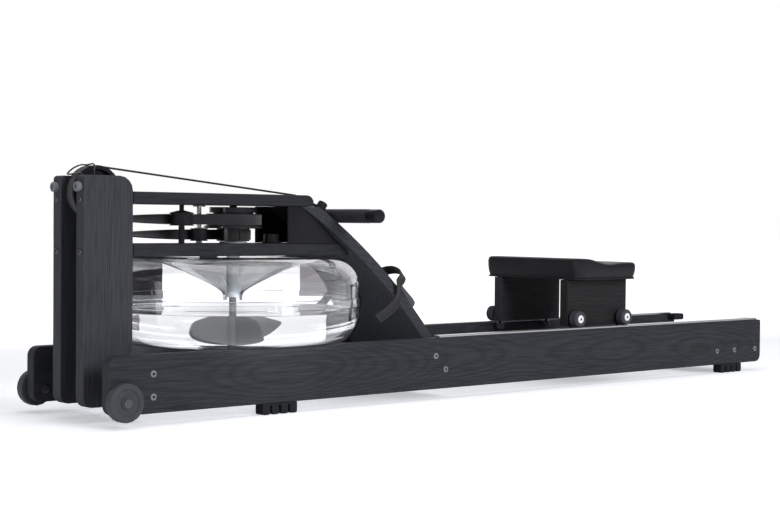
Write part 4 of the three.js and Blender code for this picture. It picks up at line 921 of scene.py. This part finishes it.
for side, sign in SIDES.items():
    seat_height = BOARD_RADIUS + LIFT
    middle = Vector((0, sign * FOOT_SPACING / 2, 0))
    arch = [middle + Vector((
        STRAP_SLANT * max(2 * share - 1, 0), -sign * math.cos(share * math.pi) * STRAP_SPAN / 2,
        seat_height + STRAP_RISE * math.sqrt(math.sin(share * math.pi))))
        for share in (k / ARCH_STEPS for k in range(ARCH_STEPS + 1))]
    edge = sign * (STRAP_SPAN / 2 + STRAP_THICKNESS)
    tail = [middle + Vector((a * STRAP_TAIL, edge, seat_height - b * STRAP_TAIL)) for a, b in TAIL_ROUTE]
    route = arch[:-1] + smooth_route([arch[-1]] + tail, TAIL_STEPS)
    stations = [(turn_down @ point + Vector((BOARD_CENTRE[0], 0, BOARD_CENTRE[1])), downhill)
                for point in route]
    woven(side + "_foot_strap_woven", stations, "frame", [side + "_foot_strap"], foot_webbing,
          FOOT_STRAP_WIDTH)

# %% [markdown]
# ## Seat pad
# The pad is moulded foam under a closed skin: a thin lip round its foot, sides that swell a little, a
# raised front, a saddle dip and rounded corners. Rings of a rounded rectangle are lofted from the base
# to the top, and a subdivision surface rounds them over. A cloth simulation would suit a sewn cover; a
# moulded skin keeps the exact form of its mould.

# %% Seat pad
PAD_FRONT, PAD_LENGTH, PAD_WIDTH, PAD_BASE = 1334.5, 231.0, 341.0, 264.3
PAD_HEIGHT, PAD_CROWN, PAD_SADDLE, PAD_HOLLOW = 43.5, 10.5, 4.0, 2.5
PAD_CORNER, PAD_LEAST_CORNER, PAD_LIP, PAD_SKIRT = 28.0, 2.0, 5.0, 3.0
CROWN_END, SADDLE_START, SADDLE_AT, SADDLE_SPREAD = -0.32, -0.08, 0.05, 0.12
HOLLOW_AT, HOLLOW_LONG, HOLLOW_WIDE = 0.12, 0.22, 55.0
CORNER_POINTS, EDGE_POINTS = 8, 10
TOP_INSET, TOP_SCALES = 14.0, (0.86, 0.7, 0.54, 0.38, 0.22, 0.08)


def pad_ring(inset, scale=1.0):
    radius = max(PAD_CORNER - inset, PAD_LEAST_CORNER)
    half_x, half_y = PAD_LENGTH / 2 - inset - radius, PAD_WIDTH / 2 - inset - radius
    corners = [arc((sx * half_x, sy * half_y), radius, 90 * k, 90 * k + 90, CORNER_POINTS)
               for k, (sx, sy) in enumerate([(1, 1), (-1, 1), (-1, -1), (1, -1)])]
    points, edge = [], [k / EDGE_POINTS for k in range(1, EDGE_POINTS)]
    for corner, following in zip(corners, corners[1:] + corners[:1]):
        (x0, y0), (x1, y1) = corner[-1], following[0]
        points += corner + [(x0 + (x1 - x0) * share, y0 + (y1 - y0) * share) for share in edge]
    return [(x * scale, y * scale) for x, y in points]


def pad_form(x, y):
    along = x / PAD_LENGTH
    step = min(1.0, max(0.0, (along - CROWN_END) / (SADDLE_START - CROWN_END)))
    rise = 1 - step * step * (3 - 2 * step)
    dip = math.exp(-((along - SADDLE_AT) / SADDLE_SPREAD) ** 2)
    hollow = math.exp(-((along - HOLLOW_AT) / HOLLOW_LONG) ** 2) * math.exp(-(y / HOLLOW_WIDE) ** 2)
    return PAD_CROWN * rise - PAD_SADDLE * dip - PAD_HOLLOW * hollow


pad_levels = [
    (PAD_LIP + 30, 0.0, 0.0), (PAD_LIP + 2, 0.0, 0.0), (PAD_SKIRT + 0.3, 0.3, 0.0),
    (PAD_SKIRT - 1, 1.6, 0.0), (PAD_SKIRT - 1, PAD_LIP - 1.4, 0.0), (PAD_SKIRT + 0.6, PAD_LIP - 0.4, 0.0),
    (PAD_LIP + 0.8, PAD_LIP + 0.4, 0.0), (PAD_LIP + 0.4, PAD_LIP + 2, 0.02),
    (PAD_SKIRT - 0.4, PAD_LIP + 9, 0.2), (1.0, PAD_HEIGHT * 0.5, 0.4), (0.2, PAD_HEIGHT - 11, 0.85),
    (1.2, PAD_HEIGHT - 5.4, 0.96), (3.6, PAD_HEIGHT - 2.2, 1.0), (8.0, PAD_HEIGHT - 0.5, 1.0),
    (TOP_INSET, PAD_HEIGHT, 1.0)]
pad_rings = [(pad_ring(inset), level, raised) for inset, level, raised in pad_levels]
pad_rings += [(pad_ring(TOP_INSET, scale), PAD_HEIGHT, 1.0) for scale in TOP_SCALES]
shape = lofted([[spot(PAD_FRONT + PAD_LENGTH / 2 + x, y, PAD_BASE + level + pad_form(x, y) * raised)
                 for x, y in ring] for ring, level, raised in pad_rings])
pad = finished("seat_pad_moulded", shape, seat_skin, "seat", None, ["seat_pad"], math.pi)
rounding = pad.modifiers.new("rounded", "SUBSURF")
rounding.levels = rounding.render_levels = 1
print("seat pad points:", len(pad.data.vertices))

# %% [markdown]
# ## Screws and washers
# Socket-head screws hold the boards: a low domed head with a six-sided socket. The head is lofted from
# rings, and the inner ones are hexagons, which cuts the socket. Its faces are painted dark as painted
# shade, since little light reaches them. All the screws sit in the frame.

# %% Socket screws
HEX_STEPS = 24
SOCKET_SHARE, SOCKET_SHADE_EDGE = 0.42, 1.05
HEAD_GAP = 0.1
UPRIGHT_SCREWS = (446, 341)


def hexagon_reach(angle, flat):
    """Distance from the centre to the side of a hexagon at an angle."""
    within = (angle + math.pi / 6) % (math.pi / 3) - math.pi / 6
    return flat / math.cos(within)


def socket_screw(name, place, direction, radius=7.0, height=2.2, material=screw_zinc):
    flat = radius * SOCKET_SHARE
    levels = [(radius, 0.0, False), (radius, height * 0.45, False), (radius * 0.9, height * 0.85, False),
              (radius * 0.72, height, False), (flat * 1.1, height, True), (flat, height * 0.9, True),
              (flat, height * 0.15, True)]
    rings = []
    for reach, level, hexed in levels:
        ring = []
        for k in range(HEX_STEPS):
            angle = 2 * math.pi * k / HEX_STEPS
            r = hexagon_reach(angle, reach) if hexed else reach
            ring.append((r * MM * math.cos(angle), r * MM * math.sin(angle), level * MM))
        rings.append(ring)
    middle = spot(*place)
    turn = Matrix.Translation(middle) @ facing(direction)
    screw = finished(name, lofted(rings), material, "frame", turn)
    # Painted shade: the socket's faces take the black rubber finish, since little light reaches them.
    screw.data.materials.append(rubber_black)
    for polygon in screw.data.polygons:
        if (polygon.center - middle).length < flat * SOCKET_SHADE_EDGE * MM:
            polygon.material_index = 1


RAIL_SCREWS = [(100, 102.6), (100, 57), (855.9, 100.1), (886.7, 67.9), (1898.7, 60.7), (1975.6, 60.9),
               (2069, 60.4)]
for side, sign in SIDES.items():
    for k, (x, z) in enumerate(RAIL_SCREWS):
        face = sign * (abs(near_rail_low.y) + HEAD_GAP)
        socket_screw(f"{side}_rail_screw_{k + 1}", (x, face, z), (0, sign, 0))
    front, middle = machine_box(side + "_upright")[0].x - HEAD_GAP, machine_middle(side + "_upright").y
    for k, z in enumerate(UPRIGHT_SCREWS):
        socket_screw(f"{side}_upright_screw_{k + 1}", (front, middle, z), (-1, 0, 0), 6.0, material=dark_steel)
print("screws:", 2 * (len(RAIL_SCREWS) + len(UPRIGHT_SCREWS)))

# %% [markdown]
# The lower idler's post is held by a bright washer and a nut plate, small light edges that the eye finds
# first in the dark space between the decks.

# %% Washers
PLATE_DROP = 3.4
washer_profile = [(5.6, 0), (10, 0), (10.4, 0.4), (10.4, 1.1), (10, 1.5), (5.6, 1.5)]
plate_profile = [(5.6, 0), (13, 0), (13.4, 0.5), (13.4, 2.5), (13, 3), (5.6, 3)]
post = machine_middle("lower_idler").xy
for name, profile, level in [("washer", washer_profile, machine_box("lower_idler")[1].z + GAP),
                             ("nut_plate", plate_profile, deck_low.z - PLATE_DROP)]:
    turned("lower_idler_" + name, profile, (*post, level), UP, bright_steel, "frame", "steel", (), 32)
print("lower idler's post, mm:", post)

# %% [markdown]
# ## Studio
# The machine stands on a white sweep in soft light. The floor takes real shadows. A glow is added to it
# for the camera and for rays that the clear tank passes on, so that it reads as white without more
# light on the machine. The glow grows away from the machine and leaves the shadows under it.

# %% Floor
FLOOR_HALF = 30.0
GLOW_NEAR, GLOW_FAR = 0.42, 1.0
GLOW_STARTS, GLOW_ENDS = 1.5, 2.6
LENGTHWISE_SQUEEZE = 0.7


def seen_directly(tree):
    """1 for rays from the camera and for those that clear plastic passes on, else 0."""
    path = add(tree, "LightPath").outputs
    return maths(tree, "MAXIMUM", path["Is Camera Ray"], path["Is Transmission Ray"])


floor_paint, tree, floor_shader = start_material(
    "studio_floor", Base_Color=(0.82, 0.83, 0.85, 1), Roughness=0.8, Specular_IOR_Level=0.1,
    Emission_Color=(0.94, 0.96, 1, 1))
from_middle = add(tree, "VectorMath", {
    0: object_place(tree, (LENGTHWISE_SQUEEZE, 1, 1))}, operation="LENGTH").outputs["Value"]
outward = add(tree, "MapRange", {
    "Value": from_middle, "From Min": GLOW_STARTS, "From Max": GLOW_ENDS,
    "To Min": GLOW_NEAR, "To Max": GLOW_FAR}).outputs["Result"]
tree.links.new(maths(tree, "MULTIPLY", seen_directly(tree), outward),
               floor_shader.inputs["Emission Strength"])


def studio_piece(name, corners, material):
    mesh = bpy.data.meshes.new(name)
    mesh.from_pydata(corners, [], [(0, 1, 2, 3)])
    mesh.materials.append(material)
    piece = in_scene(name, mesh)
    return piece


FLOOR_CORNERS = [(-1, -1), (1, -1), (1, 1), (-1, 1)]
studio_piece("studio_floor", [(x * FLOOR_HALF, y * FLOOR_HALF, 0) for x, y in FLOOR_CORNERS], floor_paint)
print("floor, metres across:", 2 * FLOOR_HALF)

# %% [markdown]
# Clear plastic on a white ground has no form of its own. A photographer stands dark cards behind it,
# and their bent images draw it. Three stand behind the tank here, seen only by rays that passed it.
# They glow by their own emission and light nothing, so what the tank shows of them is painted light.

# %% Cards behind the tank
CARD_CENTRE = (953.0, 777.0)
CARD_RIGHT = (0.818, -0.576)
CARDS = [
    ("dark_card_left", (-640.0, -202.0), (196.0, 560.0), (0.018, 0.018, 0.021)),
    ("grey_card_left", (-640.0, -202.0), (0.0, 196.0), (0.16, 0.17, 0.19)),
    ("rose_card_right", (193.0, 560.0), (196.0, 560.0), (0.26, 0.245, 0.265)),
]
for name, ends, levels, color in CARDS:
    card_paint, tree, _ = start_material(name)
    # Painted light: each card glows by its own emission and lights nothing.
    plain = add(tree, "Emission", {"Color": (*color, 1), "Strength": 1.0})
    tree.links.new(plain.outputs[0], tree.nodes["Material Output"].inputs["Surface"])
    corners = [spot(*(Vector(CARD_CENTRE) + Vector(CARD_RIGHT) * across), level)
               for across, level in zip((*ends, *ends[::-1]), (levels[0], levels[0], levels[1], levels[1]))]
    card = studio_piece(name, corners, card_paint)
    card.visible_camera = card.visible_diffuse = card.visible_glossy = card.visible_shadow = False
print("cards:", [name for name, *_ in CARDS])

# %% [markdown]
# The world glows for the same rays as the floor. Mirror rays see a white backdrop straight behind the
# machine and a much darker room beside it, which keeps black plastic black. Three large lamps give the
# soft light: one at the side that the camera sees, one before the front end and one overhead.

# %% World and lamps
WORLD_LIGHT = 0.2
MIRRORED_ROOM = 0.16
BACKDROP_TOWARDS = (0.655, 0.756, 0.0)
world = bpy.data.worlds.new("studio_world")
bpy.context.scene.world = world
world.use_nodes = True
tree = world.node_tree
background = tree.nodes["Background"]
background.inputs["Color"].default_value = (1, 1, 1, 1)
looking = add(tree, "TexCoord").outputs["Generated"]
towards = add(tree, "VectorMath", {0: looking, 1: BACKDROP_TOWARDS}, operation="DOT_PRODUCT")
backdrop = ramp(tree, towards.outputs["Value"], (0.55, grey(MIRRORED_ROOM)), (0.75, grey(1.0)))
path = add(tree, "LightPath").outputs
in_mirrors = maths(tree, "MULTIPLY", backdrop, path["Is Glossy Ray"])
diffused = maths(tree, "MULTIPLY", path["Is Diffuse Ray"], WORLD_LIGHT)
strength = maths(tree, "ADD", maths(tree, "ADD", seen_directly(tree), in_mirrors), diffused)
tree.links.new(maths(tree, "MINIMUM", strength, 1.0), background.inputs["Strength"])


def soft_lamp(name, place, target, size, power):
    data = bpy.data.lights.new(name, "AREA")
    data.shape = "RECTANGLE"
    data.size, data.size_y = size
    data.energy = power
    lamp = in_scene(name, data)
    lamp.matrix_world = Matrix.Translation(place) @ facing(Vector(place) - Vector(target))
    return lamp


LAMPS = [
    ("key_beside_the_machine", (0.3, -6.0, 2.5), (0.0, 0, 0.25), (3.0, 2.4), 300, False),
    ("lamp_before_the_front", (-5.5, -0.3, 1.3), (0.0, 0, 0.3), (2.4, 1.6), 64, True),
    ("lamp_over_the_machine", (0.0, -0.3, 4.2), (0.0, -0.3, 0), (4.0, 3.4), 70, False),
]
for *lamp, in_mirrors in LAMPS:
    soft_lamp(*lamp).visible_glossy = in_mirrors
bpy.context.scene.view_settings.view_transform = "Standard"
print("lamps:", len(LAMPS))
